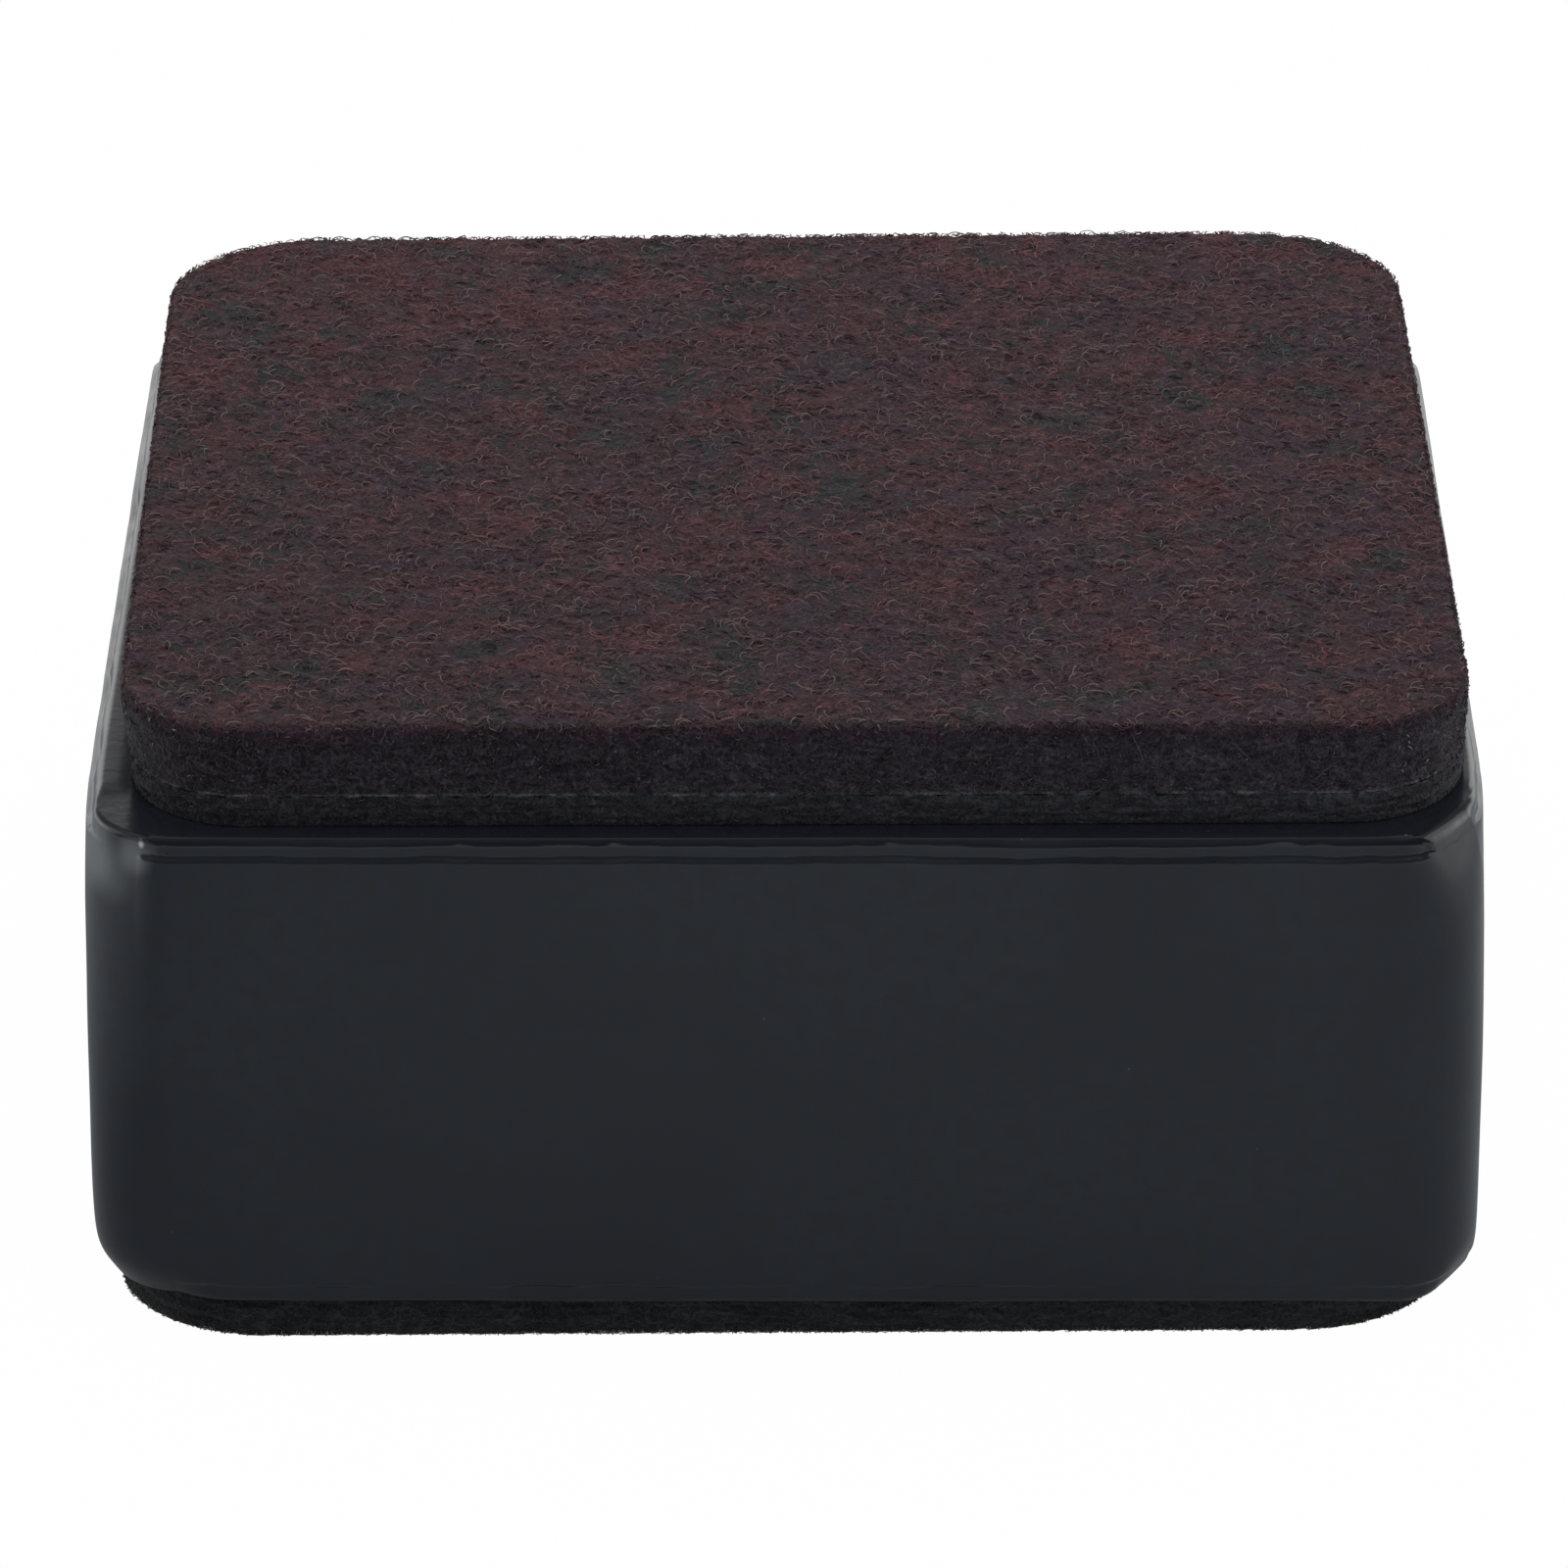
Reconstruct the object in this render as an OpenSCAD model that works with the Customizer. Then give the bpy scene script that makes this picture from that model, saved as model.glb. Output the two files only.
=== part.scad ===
// Furniture riser: a slice of square steel tube, closed by a plate welded into each end, with a thick
// two-layer felt pad stuck on top and a thin felt pad stuck underneath.
// Millimetres. Z = 0 is the underside of the lower pad, +Z is up, and the front faces -Y.

/* [Tube] */
// Outside width of the square tube
tube_w = 60; // [40:0.5:100]
// Length of the slice between its two cut ends
tube_h = 20.1; // [12:0.1:80]
// Wall of the tube
tube_wall = 2; // [1.2:0.1:2.8]
// Outside radius of the tube's four long edges
tube_edge_r = 3.8; // [3.4:0.1:6]

/* [End plates] */
// Thickness of each end plate
plate_t = 3; // [2:0.1:5]
// How far each plate stands out of the tube's cut end
plate_proud = 0.9; // [0.7:0.05:1.5]
// Gap between the plate's edge and the bore of the tube, all round
plate_clear = 0.2; // [0.1:0.05:0.4]

/* [Welds] */
// How far the bead's flank stands back from the tube's outer face
bead_inset = 0.25; // [0.1:0.05:0.6]
// Radius of the bead's rounded crest
bead_crest_r = 0.25; // [0.1:0.05:0.6]
// Depth of the dressed facet at each upper corner, along the diagonal, at the end face
top_facet_depth = 1.1; // [0.5:0.05:1.3]
// Length of the dressed facet at each upper corner, down from the end face
top_facet_h = 3.2; // [1.2:0.1:5]
// Depth of the dressed facet at each lower corner, along the diagonal, at the end face
bottom_facet_depth = 1.25; // [0.5:0.05:1.3]
// Length of the dressed facet at each lower corner, up from the end face
bottom_facet_h = 1.7; // [1.2:0.1:5]

/* [Upper pad] */
// Bare rim of the block beside the upper pad, at its left and right
top_rim_x = 1.1; // [0.5:0.05:5]
// Bare rim of the block beside the upper pad, at its front and back
top_rim_y = 1.2; // [0.5:0.05:5]
// Radius of the upper pad's two front corners
top_front_r = 5.6; // [3:0.1:15]
// Radius of the upper pad's two back corners
top_back_r = 7.2; // [3:0.1:15]
// Thickness of the burgundy face layer
top_face_t = 3; // [1.5:0.1:8]
// Thickness of the dark base layer
top_base_t = 1.3; // [0.5:0.1:4]
// Radius of the soft shoulder round the face layer's upper edge
top_shoulder_r = 0.3; // [0.2:0.05:1.2]
// How far the upper pad sits off centre, to the right
top_shift_x = 0.2; // [-0.4:0.05:0.4]
// How far the upper pad sits off centre, to the back
top_shift_y = 0.85; // [-0.9:0.05:0.9]
// How far the upper pad is turned from square, in degrees
top_turn = 0.5; // [-0.6:0.1:0.6]

/* [Lower pad] */
// Bare rim of the block beside the lower pad, all round
bottom_rim = 1.05; // [0.8:0.05:5]
// Radius of the lower pad's corners
bottom_corner_r = 6.2; // [3:0.1:15]
// Thickness of the lower pad
bottom_felt_t = 1.9; // [1:0.1:5]
// How far the lower pad sits off centre, to the right
bottom_shift_x = -0.4; // [-0.5:0.05:0.5]
// How far the lower pad sits off centre, to the back
bottom_shift_y = 0.1; // [-0.5:0.05:0.5]
// How far the lower pad is turned from square, in degrees
bottom_turn = 0.7; // [-0.8:0.1:0.8]

/* [Adhesive] */
// Thickness of the adhesive film under each pad
film_t = 0.1; // [0.1:0.05:0.5]
// How far each film stops short of its pad's outline
film_margin = 0.6; // [0.2:0.1:1.5]

/* [Hidden] */

$fn = 96;

// Bore of the tube, and the plate that drops into it
bore_w = tube_w - 2 * tube_wall;
bore_r = tube_edge_r - tube_wall;
plate_w = bore_w - 2 * plate_clear;
plate_r = bore_r - plate_clear;

// The bead lies on the tube's cut end and bridges the gap to the plate
bead_root = tube_wall + plate_clear;
run_length = tube_w - 2 * tube_edge_r;
corner_xy = tube_w / 2 - tube_edge_r;

// How far the tube's corner reaches along the diagonal, and a width that spans any facet
corner_reach = corner_xy * sqrt(2) + tube_edge_r;
facet_span = 4 * tube_edge_r;

// Heights of the stack, from the floor up
bottom_film_z = bottom_felt_t;
block_z = bottom_film_z + film_t;
block_h = tube_h + 2 * plate_proud;
top_film_z = block_z + block_h;
top_base_z = top_film_z + film_t;
top_face_z = top_base_z + top_base_t;

// Outlines of the pads
top_w = tube_w - 2 * top_rim_x;
top_d = tube_w - 2 * top_rim_y;
bottom_w = tube_w - 2 * bottom_rim;

// The two ends of the block, as the way that each one faces
UP = 1;
DOWN = -1;

// Turns from the front side to each of the four sides
FRONT = 0;
RIGHT = 90;
BACK = 180;
LEFT = 270;

PAINT = [0.13, 0.14, 0.15];
WELD = [0.17, 0.18, 0.19];
BURGUNDY = [0.27, 0.16, 0.18];
DARK_FELT = [0.13, 0.12, 0.14];
BLACK_FELT = [0.09, 0.09, 0.1];
FILM = [0.17, 0.16, 0.15];

// A rectangle with round corners, centred
module rounded_rect(w, d, r) {
    square([w - 2 * r, d], center = true);
    square([w, d - 2 * r], center = true);
    for (sx = [-1, 1], sy = [-1, 1])
        translate([sx * (w / 2 - r), sy * (d / 2 - r)])
            circle(r = r);
}

// A rectangle with round corners, centred, whose front corners differ from its back corners
module pad_outline(w, d, front_r, back_r) {
    translate([0, -d / 4])
        square([w - 2 * front_r, d / 2], center = true);
    translate([0, d / 4])
        square([w - 2 * back_r, d / 2], center = true);
    translate([0, (front_r - back_r) / 2])
        square([w, d - front_r - back_r], center = true);
    for (sx = [-1, 1]) {
        translate([sx * (w / 2 - front_r), front_r - d / 2])
            circle(r = front_r);
        translate([sx * (w / 2 - back_r), d / 2 - back_r])
            circle(r = back_r);
    }
}

// Moves its children to one cut end of the tube, with +Z pointing out of the block
module on_end(way) {
    translate([0, 0, block_z + block_h / 2 + way * tube_h / 2])
        mirror([0, 0, way == UP ? 0 : 1])
            children();
}

// Section of the weld bead: X runs in from the tube's outer face, Y runs out of its cut end
module bead_section() {
    translate([bead_inset + bead_crest_r, 0])
        square([bead_root - bead_inset - bead_crest_r, plate_proud]);
    translate([bead_inset, 0])
        square([bead_root - bead_inset, plate_proud - bead_crest_r]);
    translate([bead_inset + bead_crest_r, plate_proud - bead_crest_r])
        circle(r = bead_crest_r);
}

// What the grinder takes off the four corners of one end: planes that lean in by depth over length
module facet_cuts(way) {
    depth = way == UP ? top_facet_depth : bottom_facet_depth;
    length = way == UP ? top_facet_h : bottom_facet_h;
    on_end(way)
        for (turn = [45:90:315])
            rotate(turn)
                translate([corner_reach, 0, plate_proud - length])
                    rotate([0, -atan(depth / length), 0])
                        translate([0, -facet_span / 2, -length])
                            cube([facet_span, facet_span, 3 * length]);
}

module end_plate(way) {
    color(PAINT)
        on_end(way)
            translate([0, 0, plate_proud - plate_t])
                linear_extrude(plate_t)
                    rounded_rect(plate_w, plate_w, plate_r);
}

// One straight weld run along one side of one end
module weld_run(way, turn) {
    color(WELD)
        on_end(way)
            rotate(turn)
                translate([0, -tube_w / 2, 0])
                    rotate([90, 0, 90])
                        linear_extrude(run_length, center = true)
                            bead_section();
}

// Four quarter turns of the bead that join the straight runs, with their facets
module corner_welds(way) {
    color(WELD)
        difference() {
            on_end(way)
                for (turn = [FRONT, RIGHT, BACK, LEFT])
                    rotate(turn)
                        translate([corner_xy, corner_xy, 0])
                            rotate_extrude(angle = 90)
                                translate([tube_edge_r, 0])
                                    mirror([1, 0])
                                        bead_section();
            facet_cuts(way);
        }
}

// Turns and shifts its children as the upper pad was stuck on
module as_top_pad(z) {
    translate([top_shift_x, top_shift_y, z])
        rotate(top_turn)
            children();
}

// Turns and shifts its children as the lower pad was stuck on
module as_bottom_pad(z) {
    translate([bottom_shift_x, bottom_shift_y, z])
        rotate(bottom_turn)
            children();
}

// The roll along the back end of a pad, with its two corners
module end_roll(w, d, r, shoulder) {
    translate([0, d / 2 - shoulder, 0])
        rotate([0, 90, 0])
            cylinder(r = shoulder, h = w - 2 * r, center = true);
    for (sx = [0, 1])
        mirror([sx, 0, 0])
            translate([w / 2 - r, d / 2 - r, 0])
                rotate_extrude(angle = 90)
                    translate([r - shoulder, 0])
                        circle(r = shoulder);
}

// A flat pad whose upper edge is rolled over by a soft shoulder
module shouldered_pad(w, d, front_r, back_r, t, shoulder) {
    linear_extrude(t - shoulder)
        pad_outline(w, d, front_r, back_r);
    linear_extrude(t)
        pad_outline(w - 2 * shoulder, d - 2 * shoulder, front_r - shoulder, back_r - shoulder);
    translate([0, 0, t - shoulder]) {
        end_roll(w, d, back_r, shoulder);
        mirror([0, 1, 0])
            end_roll(w, d, front_r, shoulder);
        for (side = [-1, 1])
            translate([side * (w / 2 - shoulder), (front_r - back_r) / 2, 0])
                rotate([90, 0, 0])
                    cylinder(r = shoulder, h = d - front_r - back_r, center = true);
    }
}

module tube_shell() {
    color(PAINT)
        difference() {
            translate([0, 0, block_z + plate_proud])
                linear_extrude(tube_h)
                    difference() {
                        rounded_rect(tube_w, tube_w, tube_edge_r);
                        rounded_rect(bore_w, bore_w, bore_r);
                    }
            facet_cuts(UP);
            facet_cuts(DOWN);
        }
}

module top_plate() {
    end_plate(UP);
}

module bottom_plate() {
    end_plate(DOWN);
}

module top_adhesive_film() {
    color(FILM)
        as_top_pad(top_film_z)
            linear_extrude(film_t)
                pad_outline(
                    top_w - 2 * film_margin, top_d - 2 * film_margin,
                    top_front_r - film_margin, top_back_r - film_margin
                );
}

module top_felt_base() {
    color(DARK_FELT)
        as_top_pad(top_base_z)
            linear_extrude(top_base_t)
                pad_outline(top_w, top_d, top_front_r, top_back_r);
}

module top_felt_face() {
    color(BURGUNDY)
        as_top_pad(top_face_z)
            shouldered_pad(top_w, top_d, top_front_r, top_back_r, top_face_t, top_shoulder_r);
}

module bottom_adhesive_film() {
    color(FILM)
        as_bottom_pad(bottom_film_z)
            linear_extrude(film_t)
                rounded_rect(
                    bottom_w - 2 * film_margin, bottom_w - 2 * film_margin, bottom_corner_r - film_margin
                );
}

module bottom_felt() {
    color(BLACK_FELT)
        as_bottom_pad(0)
            linear_extrude(bottom_felt_t)
                rounded_rect(bottom_w, bottom_w, bottom_corner_r);
}

tube_shell();
top_plate();
bottom_plate();
weld_run(UP, FRONT);  // top_weld_front
weld_run(UP, BACK);  // top_weld_back
weld_run(UP, LEFT);  // top_weld_left
weld_run(UP, RIGHT);  // top_weld_right
corner_welds(UP);  // top_corner_welds
weld_run(DOWN, FRONT);  // bottom_weld_front
weld_run(DOWN, BACK);  // bottom_weld_back
weld_run(DOWN, LEFT);  // bottom_weld_left
weld_run(DOWN, RIGHT);  // bottom_weld_right
corner_welds(DOWN);  // bottom_corner_welds
top_adhesive_film();
top_felt_base();
top_felt_face();
bottom_adhesive_film();
bottom_felt();
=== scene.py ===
"""Looks of a furniture riser: a black welded block of square steel tube between two felt pads."""
import logging
import math
from collections.abc import Sequence
from dataclasses import dataclass, field, replace
from enum import Enum
from typing import NamedTuple

import bpy
import numpy as np
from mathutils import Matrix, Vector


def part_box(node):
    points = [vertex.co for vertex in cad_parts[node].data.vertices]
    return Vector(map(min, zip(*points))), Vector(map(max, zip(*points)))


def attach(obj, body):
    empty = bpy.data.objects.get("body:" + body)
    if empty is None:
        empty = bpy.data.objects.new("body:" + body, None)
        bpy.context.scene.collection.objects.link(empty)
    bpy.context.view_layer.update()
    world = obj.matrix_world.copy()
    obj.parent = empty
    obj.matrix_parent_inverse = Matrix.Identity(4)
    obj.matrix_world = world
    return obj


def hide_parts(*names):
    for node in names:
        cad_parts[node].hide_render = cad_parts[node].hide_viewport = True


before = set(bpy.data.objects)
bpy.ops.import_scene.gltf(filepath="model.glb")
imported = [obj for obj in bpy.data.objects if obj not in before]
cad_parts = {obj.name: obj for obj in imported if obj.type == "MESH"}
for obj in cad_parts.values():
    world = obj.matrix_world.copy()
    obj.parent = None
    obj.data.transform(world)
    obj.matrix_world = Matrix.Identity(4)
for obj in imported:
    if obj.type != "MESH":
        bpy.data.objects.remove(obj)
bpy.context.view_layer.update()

MM = 0.001
BODY = "root"
BAKE_MAP = "OFBake"
PIECE_TRIANGLES = 196000

log = logging.getLogger("riser")


class End(Enum):
    """The two welded ends of the block."""

    TOP = "top"
    BOTTOM = "bottom"


class Side(Enum):
    """The four sides of the block, in the order that a ring runs round them."""

    FRONT = 0
    RIGHT = 1
    BACK = 2
    LEFT = 3


class Slope(NamedTuple):
    """A smooth step from one value to another.

    Attributes:
        low, high: the range that it is read over.
        start, end: what the range's ends become.
    """

    low: float
    high: float
    start: float = 0.0
    end: float = 1.0


def linear(red: int, green: int, blue: int) -> tuple[float, float, float, float]:
    """Turns a screen colour into the linear colour that a shader takes.

    Args:
        red, green, blue: the colour as seen on a screen, from 0 to 255.

    Returns:
        The linear red, green and blue, and an alpha of 1.
    """
    screen = np.array([red, green, blue]) / 255
    light = np.where(screen <= 0.04045, screen / 12.92, ((screen + 0.055) / 1.055) ** 2.4)
    return (*map(float, light), 1.0)


def node_box(node: str) -> tuple[np.ndarray, np.ndarray]:
    """Gives the lowest and highest corner of a node of the frame, in millimetres."""
    low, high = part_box(node)
    return np.array(low) / MM, np.array(high) / MM


def smooth_step(low: float, high: float, value: np.ndarray) -> np.ndarray:
    """Rises from 0 at low to 1 at high along 3t^2 - 2t^3."""
    t = np.clip((value - low) / (high - low), 0, 1)
    return t * t * (3 - 2 * t)


def smooth_max(a: np.ndarray, b: np.ndarray, blend: np.ndarray) -> np.ndarray:
    """Takes the larger of two values, rounded off: (a + b + sqrt((a - b)^2 + blend^2)) / 2."""
    return (a + b + np.sqrt((a - b) ** 2 + blend**2)) / 2


def unit(vectors: np.ndarray) -> np.ndarray:
    """Scales vectors on the last axis to a length of 1."""
    return vectors / np.maximum(np.linalg.norm(vectors, axis=-1, keepdims=True), 1e-12)


@dataclass(frozen=True)
class Grain:
    """A smooth random field: the scaled sum of plane waves with seeded directions and phases.

    Attributes:
        seed: picks the waves.
        wavelengths: typical wavelength along X, Y and Z, in millimetres.
        waves: how many waves are added.
    """

    seed: int
    wavelengths: tuple[float, float, float]
    waves: int = 48

    def at(self, points: np.ndarray) -> np.ndarray:
        """Evaluates the field, which has a mean of 0 and a spread of 1.

        Args:
            points: places in millimetres, with X, Y and Z on the last axis.

        Returns:
            One value for each place.
        """
        rng = np.random.default_rng(self.seed)
        pace = rng.normal(size=(self.waves, 3)) * (2 * math.pi / np.array(self.wavelengths))
        phase = rng.uniform(0, 2 * math.pi, self.waves)
        return np.cos(points @ pace.T + phase).sum(-1) * math.sqrt(2 / self.waves)


@dataclass(frozen=True)
class Ring:
    """One closed turn round an outline, counter-clockwise from above, one row for each column."""

    points: np.ndarray
    normals: np.ndarray


@dataclass(frozen=True)
class Outline:
    """A rectangle with round corners, in millimetres.

    Attributes:
        half_x, half_y: half sizes.
        front_r, back_r: radius of the two front corners and of the two back corners.
        centre: where its middle lies.
        turn: how far it is turned from square, in degrees.
    """

    half_x: float
    half_y: float
    front_r: float
    back_r: float
    centre: tuple[float, float] = (0.0, 0.0)
    turn: float = 0.0

    def inset(self, distance: float) -> "Outline":
        """Gives the outline that lies a distance inside this one."""
        return replace(
            self,
            half_x=self.half_x - distance,
            half_y=self.half_y - distance,
            front_r=self.front_r - distance,
            back_r=self.back_r - distance,
        )

    def radius_at(self, flat: np.ndarray) -> np.ndarray:
        """Gives the radius of the corner nearest to each point of the outline's own frame."""
        return np.where(flat[..., 1:] < 0, self.front_r, self.back_r)

    def hub(self, flat: np.ndarray) -> tuple[np.ndarray, np.ndarray]:
        """Gives the radius of the corner nearest to each point, and the core's nearest place."""
        radius = self.radius_at(flat)
        core = np.array([self.half_x, self.half_y]) - radius
        return radius, np.clip(flat, -core, core)

    def turned(self, vectors: np.ndarray) -> np.ndarray:
        """Turns plane vectors by the outline's own turn."""
        c, s = math.cos(math.radians(self.turn)), math.sin(math.radians(self.turn))
        return vectors @ np.array([[c, s], [-s, c]])

    def placed(self, points: np.ndarray) -> np.ndarray:
        """Turns and moves points from the outline's own square frame to the block's."""
        return self.turned(points) + np.array(self.centre)

    def ring(self, per_side: int, per_corner: int) -> Ring:
        """Walks the outline: each side is a straight run, each corner a quarter circle about its centre.

        Args:
            per_side: columns on each side, its first end counted and its last not.
            per_corner: columns on each corner, counted the same way.

        Returns:
            The ring, which starts at the left end of the front side.
        """
        signs = np.array([(1, -1), (1, 1), (-1, 1), (-1, -1)])
        radii = self.radius_at(signs)
        corners = signs * (np.array([self.half_x, self.half_y]) - radii)
        hubs = np.concatenate([corners, radii], 1)
        step = (np.arange(per_side) / per_side)[:, None]
        bend = np.arange(per_corner) / per_corner * math.pi / 2
        bases, angles = [], []
        for side in Side:
            start, end = hubs[side.value - 1], hubs[side.value]
            heading = (side.value - 1) * math.pi / 2
            bases += [start + (end - start) * step, np.repeat(end[None], per_corner, 0)]
            angles += [np.full(per_side, heading), heading + bend]
        base, angle = np.concatenate(bases), np.concatenate(angles)
        normals = np.stack([np.cos(angle), np.sin(angle)], 1)
        return Ring(self.placed(base[:, :2] + base[:, 2:] * normals), self.turned(normals))

    def lid(self, columns: int) -> tuple[np.ndarray, np.ndarray]:
        """Lays a square grid over the outline. In a corner, the grid's square (p, q) from 0 to 1 bends to
        the quarter disc as p * sqrt(1 - q^2 / 2) and q * sqrt(1 - p^2 / 2).

        Args:
            columns: points along each side.

        Returns:
            The grid's points, and for each one the outward direction of the nearest edge.
        """
        t = np.linspace(-1, 1, columns)
        x, y = np.meshgrid(t * self.half_x, t * self.half_y, indexing="ij")
        flat = np.stack([x, y], -1)
        radius = self.radius_at(flat)
        core = np.array([self.half_x, self.half_y]) - radius
        share = np.clip((np.abs(flat) - core) / radius, 0, 1)
        bent = core + radius * share * np.sqrt(1 - share[..., ::-1] ** 2 / 2)
        flat = np.where(share > 0, np.sign(flat) * bent, flat)
        outwards = unit(flat - np.clip(flat, -core, core))
        return self.placed(flat), self.turned(outwards)

    def unplaced(self, points: np.ndarray) -> np.ndarray:
        """Takes points of the block's frame back to the outline's own square frame."""
        return replace(self, turn=-self.turn).turned(points - np.array(self.centre))

    def depth(self, flat: np.ndarray) -> np.ndarray:
        """Gives how far inside the outline points near its edge lie, in the outline's own frame."""
        radius, hub = self.hub(flat)
        return radius[..., 0] - np.linalg.norm(flat - hub, axis=-1)

    def kept_in(self, points: np.ndarray, margin: float) -> np.ndarray:
        """Pulls points that pass the outline back to a margin inside it, straight towards the nearest edge.

        Args:
            points: places, with X, Y and Z on the last axis.
            margin: how far inside the outline they end.

        Returns:
            The places, with Z as it was.
        """
        flat = self.unplaced(points[..., :2])
        radius, hub = self.hub(flat)
        arm = flat - hub
        length = np.linalg.norm(arm, axis=-1, keepdims=True)
        shorter = np.minimum(1, (radius - margin) / np.maximum(length, 1e-9))
        return np.concatenate([self.placed(hub + arm * shorter), points[..., 2:]], -1)


def grid_faces(columns: int, rows: int, round_columns: bool, round_rows: bool, flip: bool) -> np.ndarray:
    """Joins a grid of points, counted row by row within each column, into quads.

    Args:
        columns, rows: size of the grid.
        round_columns, round_rows: whether the last column or row joins the first.
        flip: turns the faces round.

    Returns:
        The quads' point numbers.
    """
    c = np.arange(columns if round_columns else columns - 1)[:, None]
    r = np.arange(rows if round_rows else rows - 1)[None]
    c2, r2 = (c + 1) % columns, (r + 1) % rows
    quads = np.stack([c * rows + r, c * rows + r2, c2 * rows + r2, c2 * rows + r], -1).reshape(-1, 4)
    return quads[:, ::-1] if flip else quads


def build_mesh(
    name: str, points: np.ndarray, blocks: Sequence[np.ndarray], normals: np.ndarray | None = None
) -> bpy.types.Mesh:
    """Makes a smooth mesh from whole arrays.

    Args:
        name: the mesh's name.
        points: places in millimetres.
        blocks: arrays of faces, each array with its own number of corners to a face.
        normals: a normal for each point, where the points alone don't give it.

    Returns:
        The mesh, in metres.
    """
    mesh = bpy.data.meshes.new(name)
    corners = np.concatenate([block.ravel() for block in blocks])
    sizes = np.concatenate([np.full(len(block), block.shape[1]) for block in blocks])
    mesh.vertices.add(len(points))
    mesh.vertices.foreach_set("co", (points * MM).astype(np.float32).ravel())
    mesh.loops.add(len(corners))
    mesh.loops.foreach_set("vertex_index", corners.astype(np.int32))
    mesh.polygons.add(len(sizes))
    mesh.polygons.foreach_set("loop_start", np.concatenate([[0], np.cumsum(sizes)[:-1]]).astype(np.int32))
    mesh.polygons.foreach_set("use_smooth", np.ones(len(sizes), bool))
    mesh.update(calc_edges=True)
    if normals is not None:
        mesh.normals_split_custom_set_from_vertices(unit(normals).tolist())
    return mesh


def tint_points(mesh: bpy.types.Mesh, colours: np.ndarray) -> None:
    """Gives each point of a mesh its own colour."""
    tint = mesh.attributes.new("tint", "FLOAT_COLOR", "POINT")
    tint.data.foreach_set("color", colours.astype(np.float32).ravel())


def add_object(name: str, data: bpy.types.ID) -> bpy.types.Object:
    """Puts a mesh, lamp or camera into the scene."""
    thing = bpy.data.objects.new(name, data)
    bpy.context.scene.collection.objects.link(thing)
    return thing


def add_piece(
    mesh: bpy.types.Mesh, material: bpy.types.Material, stands_for: Sequence[str] = ()
) -> bpy.types.Object:
    """Puts a mesh into the scene as a piece of the object.

    Args:
        mesh: the mesh, whose name the piece takes.
        material: its finish.
        stands_for: nodes of the frame that it replaces.

    Returns:
        The new piece.
    """
    mesh.materials.append(material)
    piece = add_object(mesh.name, mesh)
    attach(piece, BODY)
    if stands_for:
        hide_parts(*stands_for)
    log.info("%s: %d faces", piece.name, len(mesh.polygons))
    return piece


class Wiring:
    """Adds and links the nodes of one shader tree."""

    def __init__(self, tree: bpy.types.NodeTree) -> None:
        """Starts with an empty tree."""
        self.tree = tree
        tree.nodes.clear()

    def add(self, kind: str, inputs: dict | None = None, **settings: object) -> bpy.types.Node:
        """Adds one node.

        Args:
            kind: the node's type, without the word ShaderNode.
            inputs: what goes into each input, by name or number: a socket to link or a value to set.
            settings: attributes of the node.

        Returns:
            The node.
        """
        node = self.tree.nodes.new("ShaderNode" + kind)
        for key, value in settings.items():
            setattr(node, key, value)
        for key, value in (inputs or {}).items():
            if isinstance(value, bpy.types.NodeSocket):
                self.tree.links.new(value, node.inputs[key])
            else:
                node.inputs[key].default_value = value
        return node

    def mix(self, share: object, first: object, second: object, blend: str = "MIX") -> bpy.types.NodeSocket:
        """Mixes two colours.

        Args:
            share: the share of the second colour.
            first, second: colours or sockets.
            blend: how they are mixed.

        Returns:
            The mixed colour.
        """
        node = self.add("Mix", {0: share, 6: first, 7: second}, data_type="RGBA", blend_type=blend)
        return node.outputs[2]

    def math(self, operation: str, *values: object) -> bpy.types.NodeSocket:
        """Works out one sum on sockets or numbers and gives the result's socket."""
        return self.add("Math", dict(enumerate(values)), operation=operation).outputs[0]

    def times(self, first: object, second: object) -> bpy.types.NodeSocket:
        """Multiplies two sockets or numbers."""
        return self.math("MULTIPLY", first, second)

    def parts(self, vector: bpy.types.NodeSocket) -> Sequence[bpy.types.NodeSocket]:
        """Gives the X, Y and Z of a vector."""
        return self.add("SeparateXYZ", {0: vector}).outputs

    def normal(self) -> Sequence[bpy.types.NodeSocket]:
        """Gives the X, Y and Z of the surface's normal."""
        return self.parts(self.add("NewGeometry").outputs["Normal"])

    def ramp(
        self, value: object, low: float, high: float, start: object, end: object
    ) -> bpy.types.NodeSocket:
        """Maps low to start and high to end along a smooth step.

        Args:
            value: the socket to map.
            low, high: the range that it is read over.
            start, end: what the range's ends become, as numbers or sockets.

        Returns:
            The mapped value.
        """
        inputs = {"Value": value, "From Min": low, "From Max": high, "To Min": start, "To Max": end}
        return self.add("MapRange", inputs, interpolation_type="SMOOTHSTEP").outputs[0]

    def noise(
        self, place: object, scale: object, detail: float = 2.0, twist: float = 0.0
    ) -> bpy.types.NodeSocket:
        """Adds a noise texture.

        Args:
            place: where it is read.
            scale: its features to a millimetre, a number or a socket.
            detail: its number of finer layers.
            twist: how far it is distorted.

        Returns:
            The noise's value.
        """
        inputs = {"Vector": place, "Scale": scale, "Detail": detail, "Distortion": twist}
        return self.add("TexNoise", inputs).outputs[0]

    def millimetres(self, stretch: tuple[float, float, float] = (1, 1, 1)) -> bpy.types.NodeSocket:
        """Gives the place on the object in millimetres, divided along each axis by a stretch."""
        place = self.add("TexCoord").outputs["Object"]
        scale = tuple(1 / MM / s for s in stretch)
        return self.add("Mapping", {"Vector": place, "Scale": scale}).outputs[0]


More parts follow.
